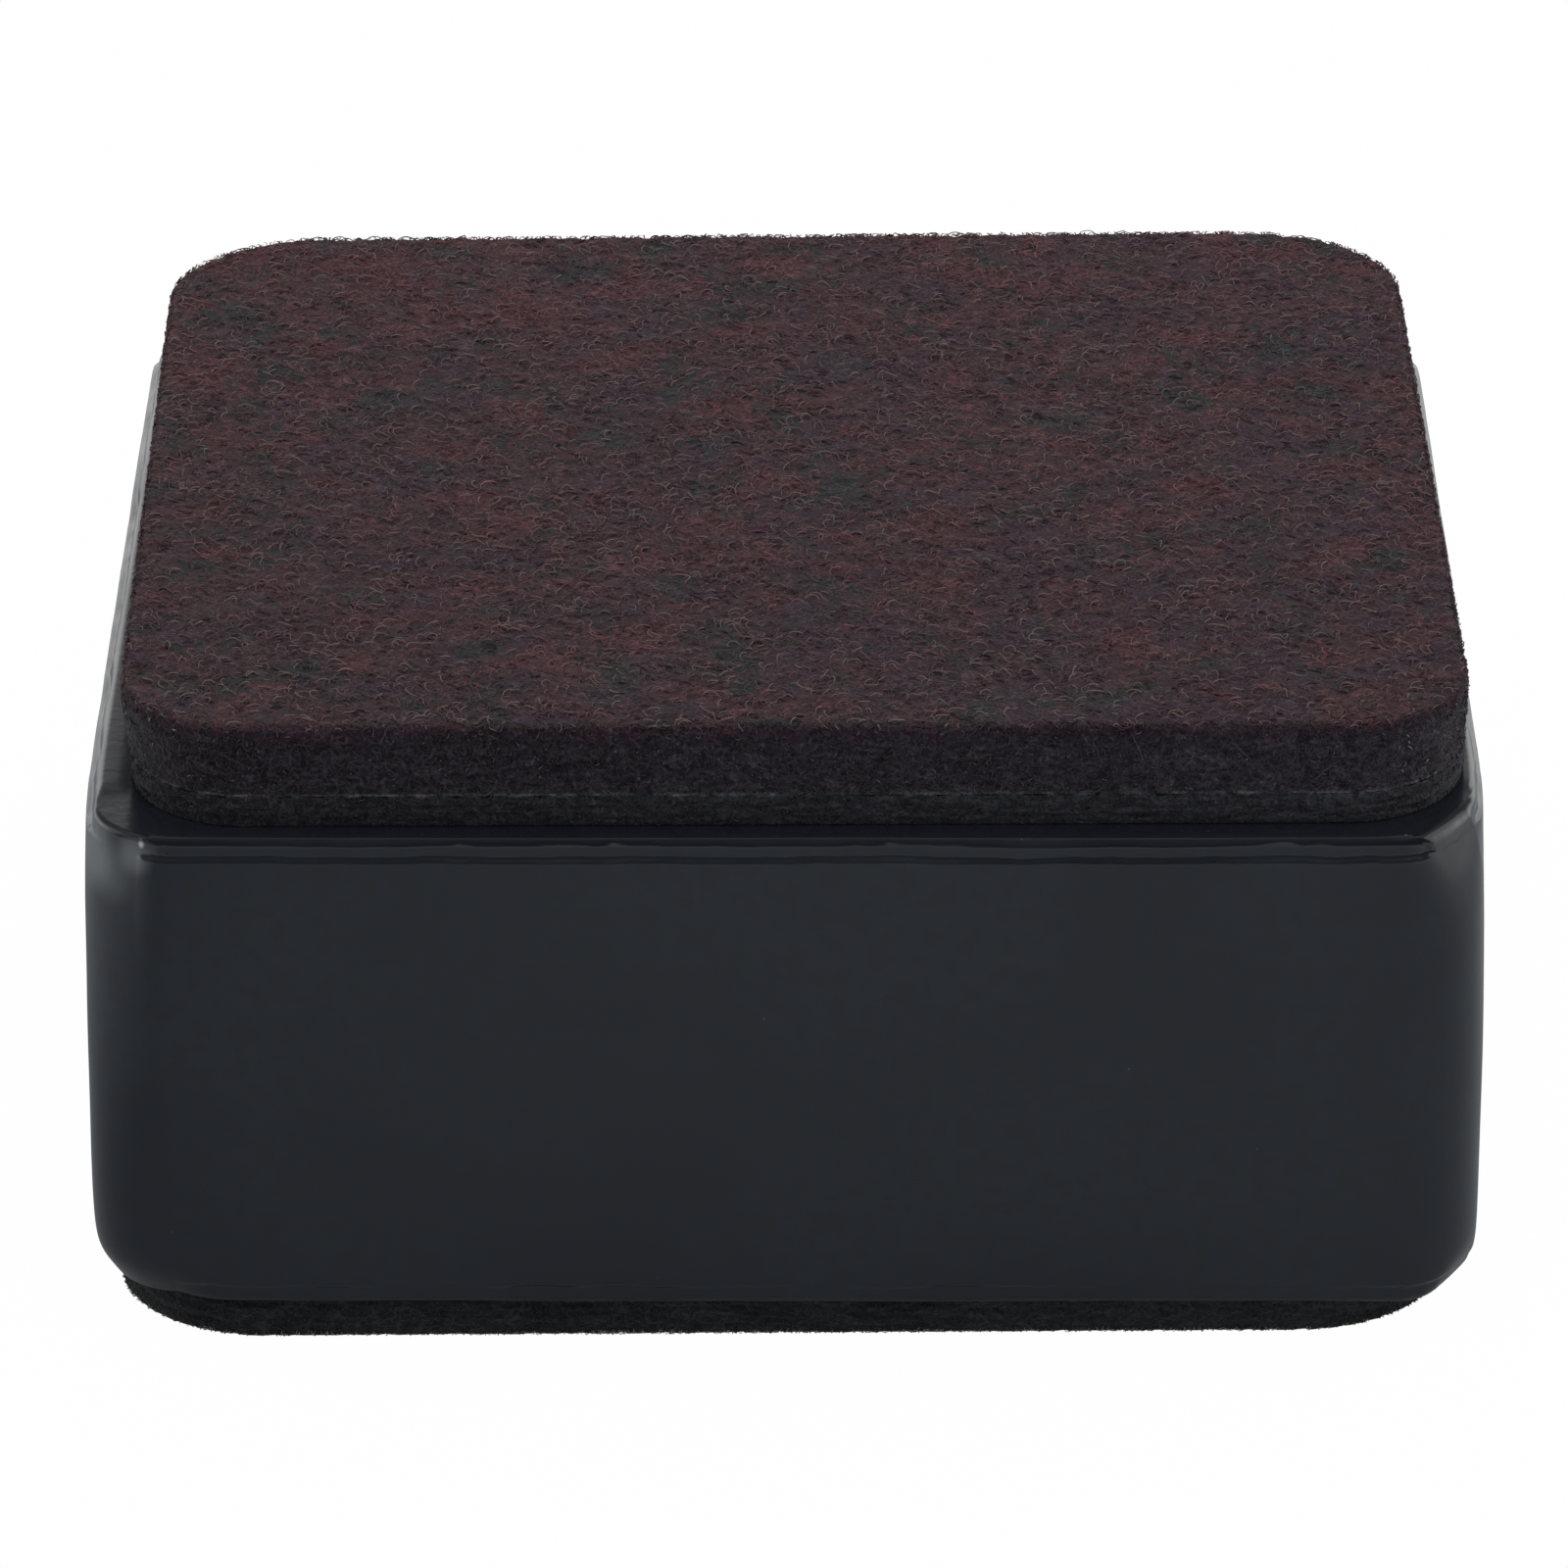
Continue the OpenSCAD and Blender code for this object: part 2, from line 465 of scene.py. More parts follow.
def group(name: str, inputs: dict[str, str], outputs: dict[str, str]) -> tuple[bpy.types.NodeTree, Wiring]:
    """Starts a shader group.

    Args:
        name: the group's name.
        inputs, outputs: its sockets' names and types.

    Returns:
        The group's tree and the wiring to fill it.
    """
    tree = bpy.data.node_groups.new(name, "ShaderNodeTree")
    wires = Wiring(tree)
    for in_out, sockets in (("INPUT", inputs), ("OUTPUT", outputs)):
        for socket, kind in sockets.items():
            tree.interface.new_socket(name=socket, in_out=in_out, socket_type="NodeSocket" + kind)
    return tree, wires


def close_group(wires: Wiring, results: dict[str, bpy.types.NodeSocket]) -> None:
    """Leads a group's results to its outputs."""
    out = wires.tree.nodes.new("NodeGroupOutput")
    for name, socket in results.items():
        wires.tree.links.new(socket, out.inputs[name])


def speck_group() -> bpy.types.NodeTree:
    """Builds the group for dust: small round specks in a random share of a cell pattern.

    Returns:
        The group, which puts out a mask of the specks.
    """
    tree, wires = group(
        "dust_specks",
        {"Place": "Vector", "Cells": "Float", "Radius": "Float", "Share": "Float"},
        {"Mask": "Float"},
    )
    given = tree.nodes.new("NodeGroupInput").outputs
    cells = wires.add("TexVoronoi", {"Vector": given["Place"], "Scale": given["Cells"]})
    channels = wires.add("SeparateColor", {0: cells.outputs["Color"]})
    size = wires.times(given["Radius"], channels.outputs[1])
    near = wires.math("LESS_THAN", cells.outputs["Distance"], size)
    chosen = wires.math("LESS_THAN", channels.outputs[0], given["Share"])
    close_group(wires, {"Mask": wires.times(near, chosen)})
    return tree


def matting_group() -> bpy.types.NodeTree:
    """Builds the group for matted felt: twisted noise at two scales, small deep pits, and curly strands,
    which are where two other noises pass through their middle value.

    Returns:
        The group, which puts out a height, a shade that is darker in the pits as painted shade, and a mask
        of the strands, all from 0 to about 1.
    """
    tree, wires = group(
        "felt_matting",
        {"Place": "Vector", "Fineness": "Float"},
        {"Height": "Float", "Shade": "Float", "Strands": "Float"},
    )
    grain_pace = 2.7
    pit_edge = Slope(0.3, 0.46)
    pit_shade = 0.6
    strand_paces = (0.55, 0.85)
    strand_width = 0.04
    curl_height = 0.5
    pit_height = 0.3
    strand_height = 0.3
    given = tree.nodes.new("NodeGroupInput").outputs
    place, fineness = given["Place"], given["Fineness"]
    curls = wires.noise(place, fineness, detail=3.0, twist=1.2)
    grains = wires.noise(place, wires.times(fineness, grain_pace), detail=1.0)
    pits = wires.ramp(grains, *pit_edge)
    strands = []
    for pace in strand_paces:
        level = wires.noise(place, wires.times(fineness, pace), detail=1.0, twist=0.7)
        away = wires.math("ABSOLUTE", wires.math("SUBTRACT", level, 0.5))
        strands.append(wires.ramp(away, 0.0, strand_width, 1.0, 0.0))
    strands = wires.math("MAXIMUM", *strands)
    height = wires.math("ADD", wires.times(curls, curl_height), wires.times(pits, pit_height))
    height = wires.math("ADD", height, wires.times(strands, strand_height))
    both = wires.math("ADD", wires.times(curls, 0.5), wires.times(grains, 0.5))
    # painted shade: the pits are darkened, as the shadow between fibres
    shade = wires.times(both, wires.ramp(pits, 0.0, 1.0, pit_shade, 1.0))
    close_group(wires, {"Height": height, "Shade": shade, "Strands": strands})
    return tree


@dataclass(frozen=True)
class SharedGroups:
    """The shader groups that more than one finish uses."""

    specks: bpy.types.NodeTree = field(default_factory=speck_group)
    matting: bpy.types.NodeTree = field(default_factory=matting_group)


def start_material(name: str) -> tuple[bpy.types.Material, Wiring]:
    """Starts a material with an empty tree."""
    material = bpy.data.materials.new(name)
    material.use_nodes = True
    return material, Wiring(material.node_tree)


def close_material(wires: Wiring, shader: bpy.types.Node) -> None:
    """Leads a shader to the material's output."""
    wires.add("OutputMaterial", {"Surface": shader.outputs[0]})


def close_principled(wires: Wiring, inputs: dict) -> None:
    """Leads a principled shader with these inputs to the material's output."""
    close_material(wires, wires.add("BsdfPrincipled", inputs))


@dataclass(frozen=True)
class PaintFinish:
    """Satin-gloss black paint: a faint orange peel, soft clouds and a little settled dust.

    Attributes:
        name: the material's name.
        colour, cloud, mottle: the paint's colours, in broad clouds and in small patches.
        dust, settled: colours of single specks and of the film of dust on what faces up.
        roughness: roughness between the clouds and in them.
        ledge_roughness, highlight_roughness: roughness of what faces up, and of the painted highlight
            patches.
        shine: strength of the reflections.
        peel_height, peel_pace: height of the orange peel and its bumps to a millimetre.
        cloud_pace, mottle_pace, lint_pace: features of clouds, patches and dust film to a millimetre.
        cloud_edge, mottle_edge, lint_edge: how their noises become masks.
        film_facing: how much dust film a place holds, by how far up it faces.
        ledge_facing: how far up a place faces where it starts to be a ledge, and where it is one.
        highlight_facing: how much painted highlight a place takes, by how far up it faces.
        speck_cover, speck_roughness, speck_height: what a speck adds to colour, roughness and height.
        painted_highlight: a pale colour painted on the ground corners as a reflection of the lamps.
        patches: middles and radii of the painted highlight patches, in millimetres, and their strength.
        painted_glint: colour, middle, radius and strength of a painted glint, a bright spot that stands in
            for a lamp's reflection.
    """

    name: str = "black_paint"
    colour: tuple = linear(8, 17, 27)
    cloud: tuple = linear(16, 26, 36)
    dust: tuple = linear(86, 90, 92)
    settled: tuple = linear(31, 32, 38)
    mottle: tuple = linear(14, 17, 26)
    roughness: tuple[float, float] = (0.2, 0.28)
    ledge_roughness: float = 0.17
    highlight_roughness: float = 0.45
    shine: float = 0.5
    peel_height: float = 0.006
    peel_pace: float = 1.7
    cloud_pace: float = 0.07
    mottle_pace: float = 1.1
    lint_pace: float = 0.7
    cloud_edge: Slope = Slope(0.35, 0.68)
    mottle_edge: Slope = Slope(0.36, 0.64, 0.0, 0.75)
    lint_edge: Slope = Slope(0.3, 0.7, 0.75, 1.0)
    film_facing: Slope = Slope(0.8, 0.99, 0.0, 0.8)
    ledge_facing: tuple[float, float] = (0.9, 0.99)
    highlight_facing: Slope = Slope(0.45, 0.85, 0.85, 0.0)
    speck_cover: float = 0.45
    speck_roughness: float = 0.3
    speck_height: float = 0.8
    # painted highlight: pale patches and a bright glint on the front corners stand in for reflections of the
    # lamps
    painted_highlight: tuple = linear(98, 102, 104)
    patches: tuple = (
        ((-29.8, -27.5, 22.4), 2.2, 1.1),
        ((-27.8, -29.5, 23.1), 1.25, 0.95),
        ((-28.8, -28.8, 21.9), 1.7, 0.4),
    )
    painted_glint: tuple = (linear(205, 209, 211), (-27.35, -29.45, 23.6), 0.26, 0.8)

    @staticmethod
    def spot(
        wires: Wiring, place: bpy.types.NodeSocket, middle: tuple, radius: float, strength: float
    ) -> bpy.types.NodeSocket:
        """Gives a soft round mask, with its strength at its middle and 0 past its radius."""
        away = wires.add("VectorMath", {0: place, 1: middle}, operation="DISTANCE").outputs["Value"]
        return wires.ramp(away, 0.1 * radius, radius, strength, 0.0)

    def material(self, shared: SharedGroups) -> bpy.types.Material:
        """Builds the paint.

        Args:
            shared: the shared groups.

        Returns:
            The material.
        """
        material, wires = start_material(self.name)
        place = wires.millimetres()
        clouds = wires.ramp(wires.noise(place, self.cloud_pace, detail=3.0, twist=0.6), *self.cloud_edge)
        dusting = {"Place": place, "Cells": 0.9, "Radius": 0.05, "Share": 0.25}
        specks = wires.add("Group", dusting, node_tree=shared.specks)
        tone = wires.mix(clouds, self.colour, self.cloud)
        mottle = wires.ramp(wires.noise(place, self.mottle_pace), *self.mottle_edge)
        tone = wires.mix(mottle, tone, self.mottle)
        facing = wires.normal()[2]
        lint = wires.ramp(wires.noise(place, self.lint_pace), *self.lint_edge)
        film = wires.times(wires.ramp(facing, *self.film_facing), lint)
        tone = wires.mix(film, tone, self.settled)
        crumbs = {"Place": place, "Cells": 2.4, "Radius": 0.15, "Share": 0.16}
        crumbs = wires.add("Group", crumbs, node_tree=shared.specks)
        tone = wires.mix(wires.times(crumbs.outputs[0], film), tone, self.dust)
        dusted = wires.mix(wires.times(specks.outputs[0], self.speck_cover), tone, self.dust)
        # painted highlight: pale patches on the ground corners, fading where they face up
        highlight_share = 0.0
        for patch in self.patches:
            highlight_share = wires.math("ADD", highlight_share, self.spot(wires, place, *patch))
        upright = wires.ramp(facing, *self.highlight_facing)
        bare = wires.times(wires.math("MINIMUM", highlight_share, 1.0), upright)
        dusted = wires.mix(bare, dusted, self.painted_highlight)
        # painted glint: a bright spot that stands in for a lamp's reflection
        dusted = wires.mix(self.spot(wires, place, *self.painted_glint[1:]), dusted, self.painted_glint[0])
        gloss = wires.ramp(clouds, 0.0, 1.0, self.roughness[0], self.roughness[1])
        gloss = wires.ramp(facing, *self.ledge_facing, gloss, self.ledge_roughness)
        gloss = wires.ramp(bare, 0.0, 1.0, gloss, self.highlight_roughness)
        rough = wires.math("ADD", gloss, wires.times(specks.outputs[0], self.speck_roughness))
        peel = wires.noise(place, self.peel_pace, detail=1.5)
        height = wires.math("ADD", peel, wires.times(specks.outputs[0], self.speck_height))
        bump = wires.add("Bump", {"Strength": 1.0, "Distance": self.peel_height * MM, "Height": height})
        look = {"Base Color": dusted, "Roughness": rough, "Specular IOR Level": self.shine}
        close_principled(wires, {**look, "Normal": bump.outputs[0]})
        return material


@dataclass(frozen=True)
class FeltFinish:
    """Matted needle felt. The face has its own colours, and the cut sides show the core.

    Attributes:
        name: the material's name.
        core, fleck: the two colours of the cut sides.
        skin: depth of the face's colours at the sides, and the height where the face lies, in millimetres.
        seam: height of a pale line along the sides, and its half width.
        blush: colour of the sides right under the face.
        flecks: share of the small cells on the sides that hold a pale fleck.
        lint: colour of the seam and of the flecks.
        painted_light_across: painted light: brightness painted on the sides at the left and at the right.
        contrast: darkest and lightest share of the shading on the face, and on the sides.
        fineness: how fine the matting is.
        strand_gain: brightness of the face's strands against the felt round them.
        half_width: how far from the middle the drift reaches, in millimetres.
        layer_stretch, layer_edge: size of the streaks in the core, and how their noise becomes a mask.
        ragged_pace, ragged_height: pace and height of the ragged edge of the face's colours.
        skin_rise: how far above the face its colours are full, in millimetres.
        turned_away: what a place gains in facing up, by how far it faces back.
        torn_pace, torn_level, torn_gain: pace, middle and strength of the torn edge between face and sides.
        lid_facing: how far a place has the face's colours, by how far up it faces.
        seam_pace, seam_breaks: pace of the breaks in the seam, and how they become a mask.
        strand_cover, fleck_cover: strength of the strands and of the flecks on the sides.
        shade_range: the part of the matting's shade that the contrast is spread over.
        bump_height: height of the matting, in millimetres.
    """

    name: str
    core: tuple
    fleck: tuple
    skin: tuple[float, float]
    seam: tuple[float, float]
    blush: tuple = linear(36, 22, 34)
    flecks: float = 0.12
    lint: tuple = linear(104, 101, 106)
    painted_light_across: tuple[float, float] = (0.6, 1.15)
    contrast: tuple[float, float, float, float] = (0.25, 0.83, 0.5, 1.4)
    fineness: float = 2.6
    strand_gain: float = 2.3
    half_width: float = 30.0
    layer_stretch: tuple[float, float, float] = (0.6, 0.6, 0.25)
    layer_edge: Slope = Slope(0.36, 0.64)
    ragged_pace: float = 0.9
    ragged_height: float = 0.9
    skin_rise: float = 0.45
    turned_away: Slope = Slope(-0.6, -0.1, 0.0, 0.5)
    torn_pace: float = 2.2
    torn_level: float = 0.4
    torn_gain: float = 1.6
    lid_facing: Slope = Slope(0.6, 1.0)
    seam_pace: float = 1.3
    seam_breaks: Slope = Slope(0.34, 0.6, 0.0, 0.55)
    strand_cover: float = 0.13
    fleck_cover: float = 0.36
    shade_range: tuple[float, float] = (0.2, 0.68)
    bump_height: float = 0.1

    def material(self, shared: SharedGroups) -> bpy.types.Material:
        """Builds the felt.

        Args:
            shared: the shared groups.

        Returns:
            The material.
        """
        material, wires = start_material(self.name)
        place = wires.millimetres()
        mats = wires.add("Group", {"Place": place, "Fineness": self.fineness}, node_tree=shared.matting)
        face = wires.add("Attribute", attribute_name="tint").outputs["Color"]
        layers = wires.noise(wires.millimetres(self.layer_stretch), 1.0, detail=3.0, twist=0.8)
        side = wires.mix(wires.ramp(layers, *self.layer_edge), self.core, self.fleck)
        across, _, height = wires.parts(place)
        # painted light: the sides are painted darker at the left and lighter at the right
        painted_light_across = wires.ramp(across, -self.half_width, self.half_width, *self.painted_light_across)
        side = wires.mix(1.0, side, painted_light_across, "MULTIPLY")
        ragged = wires.times(wires.noise(place, self.ragged_pace, detail=3.0), self.ragged_height)
        ragged = wires.math("ADD", height, ragged)
        depth, top = self.skin
        skin = wires.ramp(ragged, top - depth, top + self.skin_rise, 0.0, 1.0)
        _, back, facing = wires.normal()
        facing = wires.math("ADD", facing, wires.ramp(back, *self.turned_away))
        torn = wires.math("SUBTRACT", wires.noise(place, self.torn_pace, detail=3.0), self.torn_level)
        facing = wires.math("ADD", facing, wires.times(torn, self.torn_gain))
        lid = wires.times(skin, wires.ramp(facing, *self.lid_facing))
        tone = wires.mix(lid, wires.mix(skin, side, self.blush), face)
        bright = wires.mix(1.0, tone, (*(self.strand_gain,) * 3, 1), "MULTIPLY")
        tone = wires.mix(wires.times(mats.outputs["Strands"], lid), tone, bright)
        line = wires.math("ABSOLUTE", wires.math("SUBTRACT", height, self.seam[0]))
        broken = wires.ramp(wires.noise(place, self.seam_pace), *self.seam_breaks)
        pale = wires.times(wires.ramp(line, 0.0, self.seam[1], 1.0, 0.0), broken)
        fleck = {"Place": place, "Cells": 5.0, "Radius": 0.32, "Share": self.flecks}
        fleck = wires.add("Group", fleck, node_tree=shared.specks).outputs[0]
        bare = wires.math("SUBTRACT", 1.0, lid)
        strand = wires.times(mats.outputs["Strands"], self.strand_cover)
        strand = wires.math("MAXIMUM", strand, wires.times(fleck, self.fleck_cover))
        tone = wires.mix(wires.math("MAXIMUM", pale, wires.times(strand, bare)), tone, self.lint)
        least, most = (
            wires.ramp(lid, 0.0, 1.0, self.contrast[2 + k], self.contrast[k]) for k in range(2)
        )
        shade = wires.ramp(mats.outputs["Shade"], *self.shade_range, least, most)
        tone = wires.mix(1.0, tone, shade, "MULTIPLY")
        relief = {"Distance": self.bump_height * MM, "Height": mats.outputs["Height"]}
        bump = wires.add("Bump", {"Strength": 1.0, **relief})
        look = {"Base Color": tone, "Roughness": 0.95, "Specular IOR Level": 0.1}
        sheen = {"Sheen Weight": 0.1, "Sheen Roughness": 0.5}
        close_principled(wires, {**look, **sheen, "Normal": bump.outputs[0]})
        return material


def fibre_material() -> bpy.types.Material:
    """Builds the finish of loose fibres, whose colour is in their own attribute.

    Returns:
        The material.
    """
    material, wires = start_material("loose_fibre")
    tint = wires.add("Attribute", attribute_name="tint").outputs["Color"]
    look = {"Base Color": tint, "Roughness": 0.8, "Specular IOR Level": 0.2, "Sheen Weight": 0.1}
    close_principled(wires, look)
    return material


def film_material() -> bpy.types.Material:
    """Builds the dark adhesive film, with a fine crinkle.

    Returns:
        The material.
    """
    material, wires = start_material("adhesive_film")
    crinkle = wires.noise(wires.millimetres(), scale=1.2, detail=3.0)
    tone = wires.mix(crinkle, linear(34, 33, 32), linear(52, 50, 47))
    bump = wires.add("Bump", {"Strength": 0.5, "Distance": 0.02 * MM, "Height": crinkle})
    close_principled(wires, {"Base Color": tone, "Roughness": 0.45, "Normal": bump.outputs[0]})
    return material


@dataclass(frozen=True)
class Facet:
    """The flat that was ground across one corner of a welded end, in millimetres.

    Attributes:
        swing: direction that it faces, in degrees from the front or back towards the side.
        depth: how far it cuts in at the end face.
        length: how far it runs from the end face.
        blend: how softly it runs out.
        flat: 1 for a plane, 0 for a bevel that goes round with the corner.
        ends: how far it runs from the corner's middle towards the front or back, and towards the side.
        soft: radius of its edge at the end face.
    """

    swing: float = 45.0
    depth: float = 1.1
    length: float = 3.2
    blend: float = 0.35
    flat: float = 1.0
    ends: tuple[float, float] = (20.0, 20.0)
    soft: float = 0.25


@dataclass
class SteelBlock:
    """The welded block: tube, weld beads, dressed corners and end plates. Sizes are in millimetres.

    Attributes:
        paint: the finish.
        edge_r: outside radius of the tube's long edges.
        wall: wall of the tube.
        flank_in: for each end how far the bead's flank lies behind the tube's side.
        crest_r: radius of the bead's crest.
        crown: how far the crest stands proud of the end face.
        toe: where the bead leaves the tube's side and where it reaches its flank, from the tube's cut end.
        facets: the ground corners of each end, at the front right, back right, back left and front left.
        fall_off: how steeply a facet falls away past its ends.
        root_blend: width of the bead, from its root, where nothing is ground or uneven.
        wobble: unevenness of the facets.
        sway: unevenness of the tube's flat sides.
        swell: how far the tube's left and right sides bulge, and then the top bead's.
        swell_from: distances from the middle where the bulge starts and where it is full.
        swell_step, swell_slope: heights past the tube's cut end over which the tube's bulge turns into the
            bead's, along a bead and on a ground corner.
        crown_ground: share of the crown that grinding takes off.
        relief_depth: inset up to which grinding takes off a bead's whole relief.
        wander, creep: heights and grains of the unevenness of the beads' flanks and of their toes.
        flank_fade: how far before the cut end the flank's unevenness starts, and below the end face it ends.
        toe_fade: where the toe's unevenness starts and is full, and how far it goes on.
        level_fade: how far below the end face a ground corner starts to be shaded as flat, and is.
        per_side, per_corner: columns on each side and on each corner.
        slot: the record's material slot; not used.
    """

    paint: bpy.types.Material
    edge_r: float = 3.8
    wall: float = 2.0
    flank_in: dict[End, float] = field(default_factory=lambda: {End.TOP: 0.25, End.BOTTOM: 0.1})
    crest_r: float = 0.4
    crown: float = 0.07
    toe: tuple[float, float] = (-0.03, 0.2)
    facets: dict[End, tuple[Facet, ...]] = field(
        default_factory=lambda: {
            End.TOP: (
                Facet(58.0, 1.2, 3.2, 0.9, soft=0.45),
                Facet(),
                Facet(),
                Facet(45.0, 0.5, 3.4, 0.5, 0.3, (1.5, 20.0), 0.3),
            ),
            End.BOTTOM: (
                Facet(62.0, 0.9, 1.5, 0.45, soft=0.25),
                Facet(45.0, 1.3, 1.6),
                Facet(45.0, 1.3, 1.6),
                Facet(45.0, 1.1, 1.4, 0.6, 0.15, (2.8, 3.0), soft=0.2),
            ),
        }
    )
    fall_off: float = 0.9
    root_blend: float = 0.6
    wobble: float = 0.005
    sway: float = 0.012
    swell: tuple[float, float, float, float] = (0.08, 0.13, -0.06, 0.1)
    swell_from: tuple[float, float] = (12.0, 28.0)
    swell_step: tuple[float, float] = (-0.1, 0.4)
    swell_slope: tuple[float, float] = (-2.5, 0.9)
    crown_ground: float = 0.9
    relief_depth: float = 0.7
    wander: tuple = ((0.035, Grain(11, (9.0, 9.0, 9.0))), (0.02, Grain(13, (1.2, 1.2, 9.0))))
    creep: tuple = ((0.018, Grain(15, (6.0, 6.0, 9.0))), (0.02, Grain(16, (0.9, 0.9, 9.0))))
    flank_fade: tuple[float, float] = (0.1, 0.2)
    toe_fade: tuple[float, float, float] = (-0.2, 0.1, 0.15)
    level_fade: tuple[float, float] = (0.06, 0.01)
    per_side: int = 72
    per_corner: int = 40
    slot: str = "black_paint"

    def __post_init__(self) -> None:
        """Reads the block's place from the frame and walks its outline."""
        low, high = node_box("tube_shell")
        self.half = float(high[0])
        self.ends = {End.TOP: float(high[2]), End.BOTTOM: float(low[2])}
        self.faces = {
            End.TOP: float(node_box("top_plate")[1][2]),
            End.BOTTOM: float(node_box("bottom_plate")[0][2]),
        }
        self.proud = self.faces[End.TOP] - self.ends[End.TOP]
        self.bead_root = float(node_box("top_weld_front")[1][1]) + self.half
        outline = Outline(self.half, self.half, self.edge_r, self.edge_r)
        self.ring = outline.ring(self.per_side, self.per_corner)

    def spread(self, height: np.ndarray) -> np.ndarray:
        """Gives the outline's points at heights, which have one row for each column of the ring."""
        flat = np.broadcast_to(self.ring.points[:, None], (*height.shape, 2))
        return np.concatenate([flat, height[..., None]], -1)

    def facet(self, end: End, height: np.ndarray) -> tuple[np.ndarray, np.ndarray]:
        """Gives how far an end's ground facets reach in from the outline at each column and height.

        A facet is a plane that faces the plane direction g and leans in towards the end face. A point P with
        normal N has to go in by (P.g - (reach - depth)) / (N.g) to lie on it, where reach is how far the
        tube's corner goes along g. A bevel takes less of P.g and N.g. Past its ends a facet falls away, and
        at the end face it goes in further along a quarter circle.

        Args:
            end: which end.
            height: heights, one row for each column of the ring.

        Returns:
            The inset at each place, far below zero where the plane passes outside, and each column's blend.
        """
        points, normals, facets = self.ring.points, self.ring.normals, self.facets[end]
        signs = np.where(points > 0, 1, -1)
        corner = np.array([[3, 2], [0, 1]])[(signs[:, 0] + 1) // 2, (signs[:, 1] + 1) // 2]
        swing, depth, length, blend, flat, soft = np.array(
            [(math.radians(f.swing), f.depth, f.length, f.blend, f.flat, f.soft) for f in facets]
        )[corner].T
        front, side = np.array([f.ends for f in facets])[corner].T
        way = signs * np.stack([np.sin(swing), np.cos(swing)], 1)
        along = signs * np.stack([-np.cos(swing), np.sin(swing)], 1)
        hub = signs * (self.half - self.edge_r)
        over = ((points - hub) * way).sum(1) - self.edge_r
        past = ((points - hub) * along).sum(1)
        ended = np.maximum(0, past - front) + np.maximum(0, -past - side)
        rise = (height - self.faces[end]) * (1 if end is End.TOP else -1)
        near = np.clip(1 + rise / soft[:, None], 0, 1)
        cut = depth[:, None] * (1 - np.abs(rise) / length[:, None])
        cut = cut + soft[:, None] * (1 - np.sqrt(1 - near**2))
        lean = flat * np.maximum((normals * way).sum(1), 0.2) + 1 - flat
        return ((flat * over - self.fall_off * ended)[:, None] + cut) / lean[:, None], blend[:, None]

    def skin(
        self, inset: np.ndarray, height: np.ndarray, relief: np.ndarray
    ) -> tuple[np.ndarray, np.ndarray]:
        """Sets points in from the outline, by their own inset or by the facet's where that goes deeper.

        Args:
            inset, height: one row for each column of the ring.
            relief: the part of the inset that a facet grinds away.

        Returns:
            The points, and how far each one was ground, from 0 to 1.
        """
        place = self.spread(height)
        uneven = self.wobble * Grain(5, (3.0, 3.0, 2.5)).at(place)
        cuts = [self.facet(end, height) for end in End]
        dressed = smooth_step(0.0, 0.5, np.maximum.reduce([ground for ground, _ in cuts]))
        inwards = inset - relief * dressed
        for ground, blend in cuts:
            inwards = smooth_max(inwards, ground + uneven, blend)
        held = smooth_step(self.bead_root - self.root_blend, self.bead_root, inset)
        inwards = inwards + (inset - inwards) * held
        inwards = inwards + (1 - held) * self.sway * Grain(6, (22.0, 22.0, 16.0)).at(place)
        flat = place[..., :2] - self.ring.normals[:, None] * inwards[..., None]
        top = self.ends[End.TOP]
        step, slope = (
            smooth_step(top + low, top + high, height) for low, high in (self.swell_step, self.swell_slope)
        )
        bead = step + (slope - step) * dressed
        left, right, bead_left, bead_right = self.swell
        left, right = left + (bead_left - left) * bead, right + (bead_right - right) * bead
        flat[..., 0] -= (1 - held) * left * smooth_step(*self.swell_from, -flat[..., 0])
        flat[..., 0] += (1 - held) * right * smooth_step(*self.swell_from, flat[..., 0])
        crown = np.maximum(height - self.faces[End.TOP], 0) - np.maximum(self.faces[End.BOTTOM] - height, 0)
        lowered = height - self.crown_ground * crown * dressed
        return np.concatenate([flat, lowered[..., None]], -1), dressed

    def toe_inset(self, end: End, rise: np.ndarray) -> np.ndarray:
        """Gives how far the weld's skin lies behind the tube's side at heights past the tube's cut end.

        Over the toe's height u runs from 0 to 1, and the inset is flank_in * (u - sin(2 pi u) / (4 pi)).
        """
        u = np.clip((rise - self.toe[0]) / (self.toe[1] - self.toe[0]), 0, 1)
        return self.flank_in[end] * (u - np.sin(2 * math.pi * u) / (4 * math.pi))

    def hidden(self, inset: np.ndarray, height: np.ndarray) -> np.ndarray:
        """Sets a profile in from the outline at every column, with no facet."""
        columns = len(self.ring.points)
        flat = self.ring.points[:, None] - self.ring.normals[:, None] * inset[None, :, None]
        rise = np.broadcast_to(height[None, :, None], (columns, len(height), 1))
        return np.concatenate([flat, rise], -1)

    def skin_normals(self, points: np.ndarray) -> np.ndarray:
        """Works out normals of a skin from its slopes down the profile and round the ring.

        Args:
            points: the skin's points, column by row.

        Returns:
            The outward normals.
        """
        down = np.gradient(points, axis=1)
        around = np.roll(points, -1, 0) - np.roll(points, 1, 0)
        return unit(np.cross(down, around))

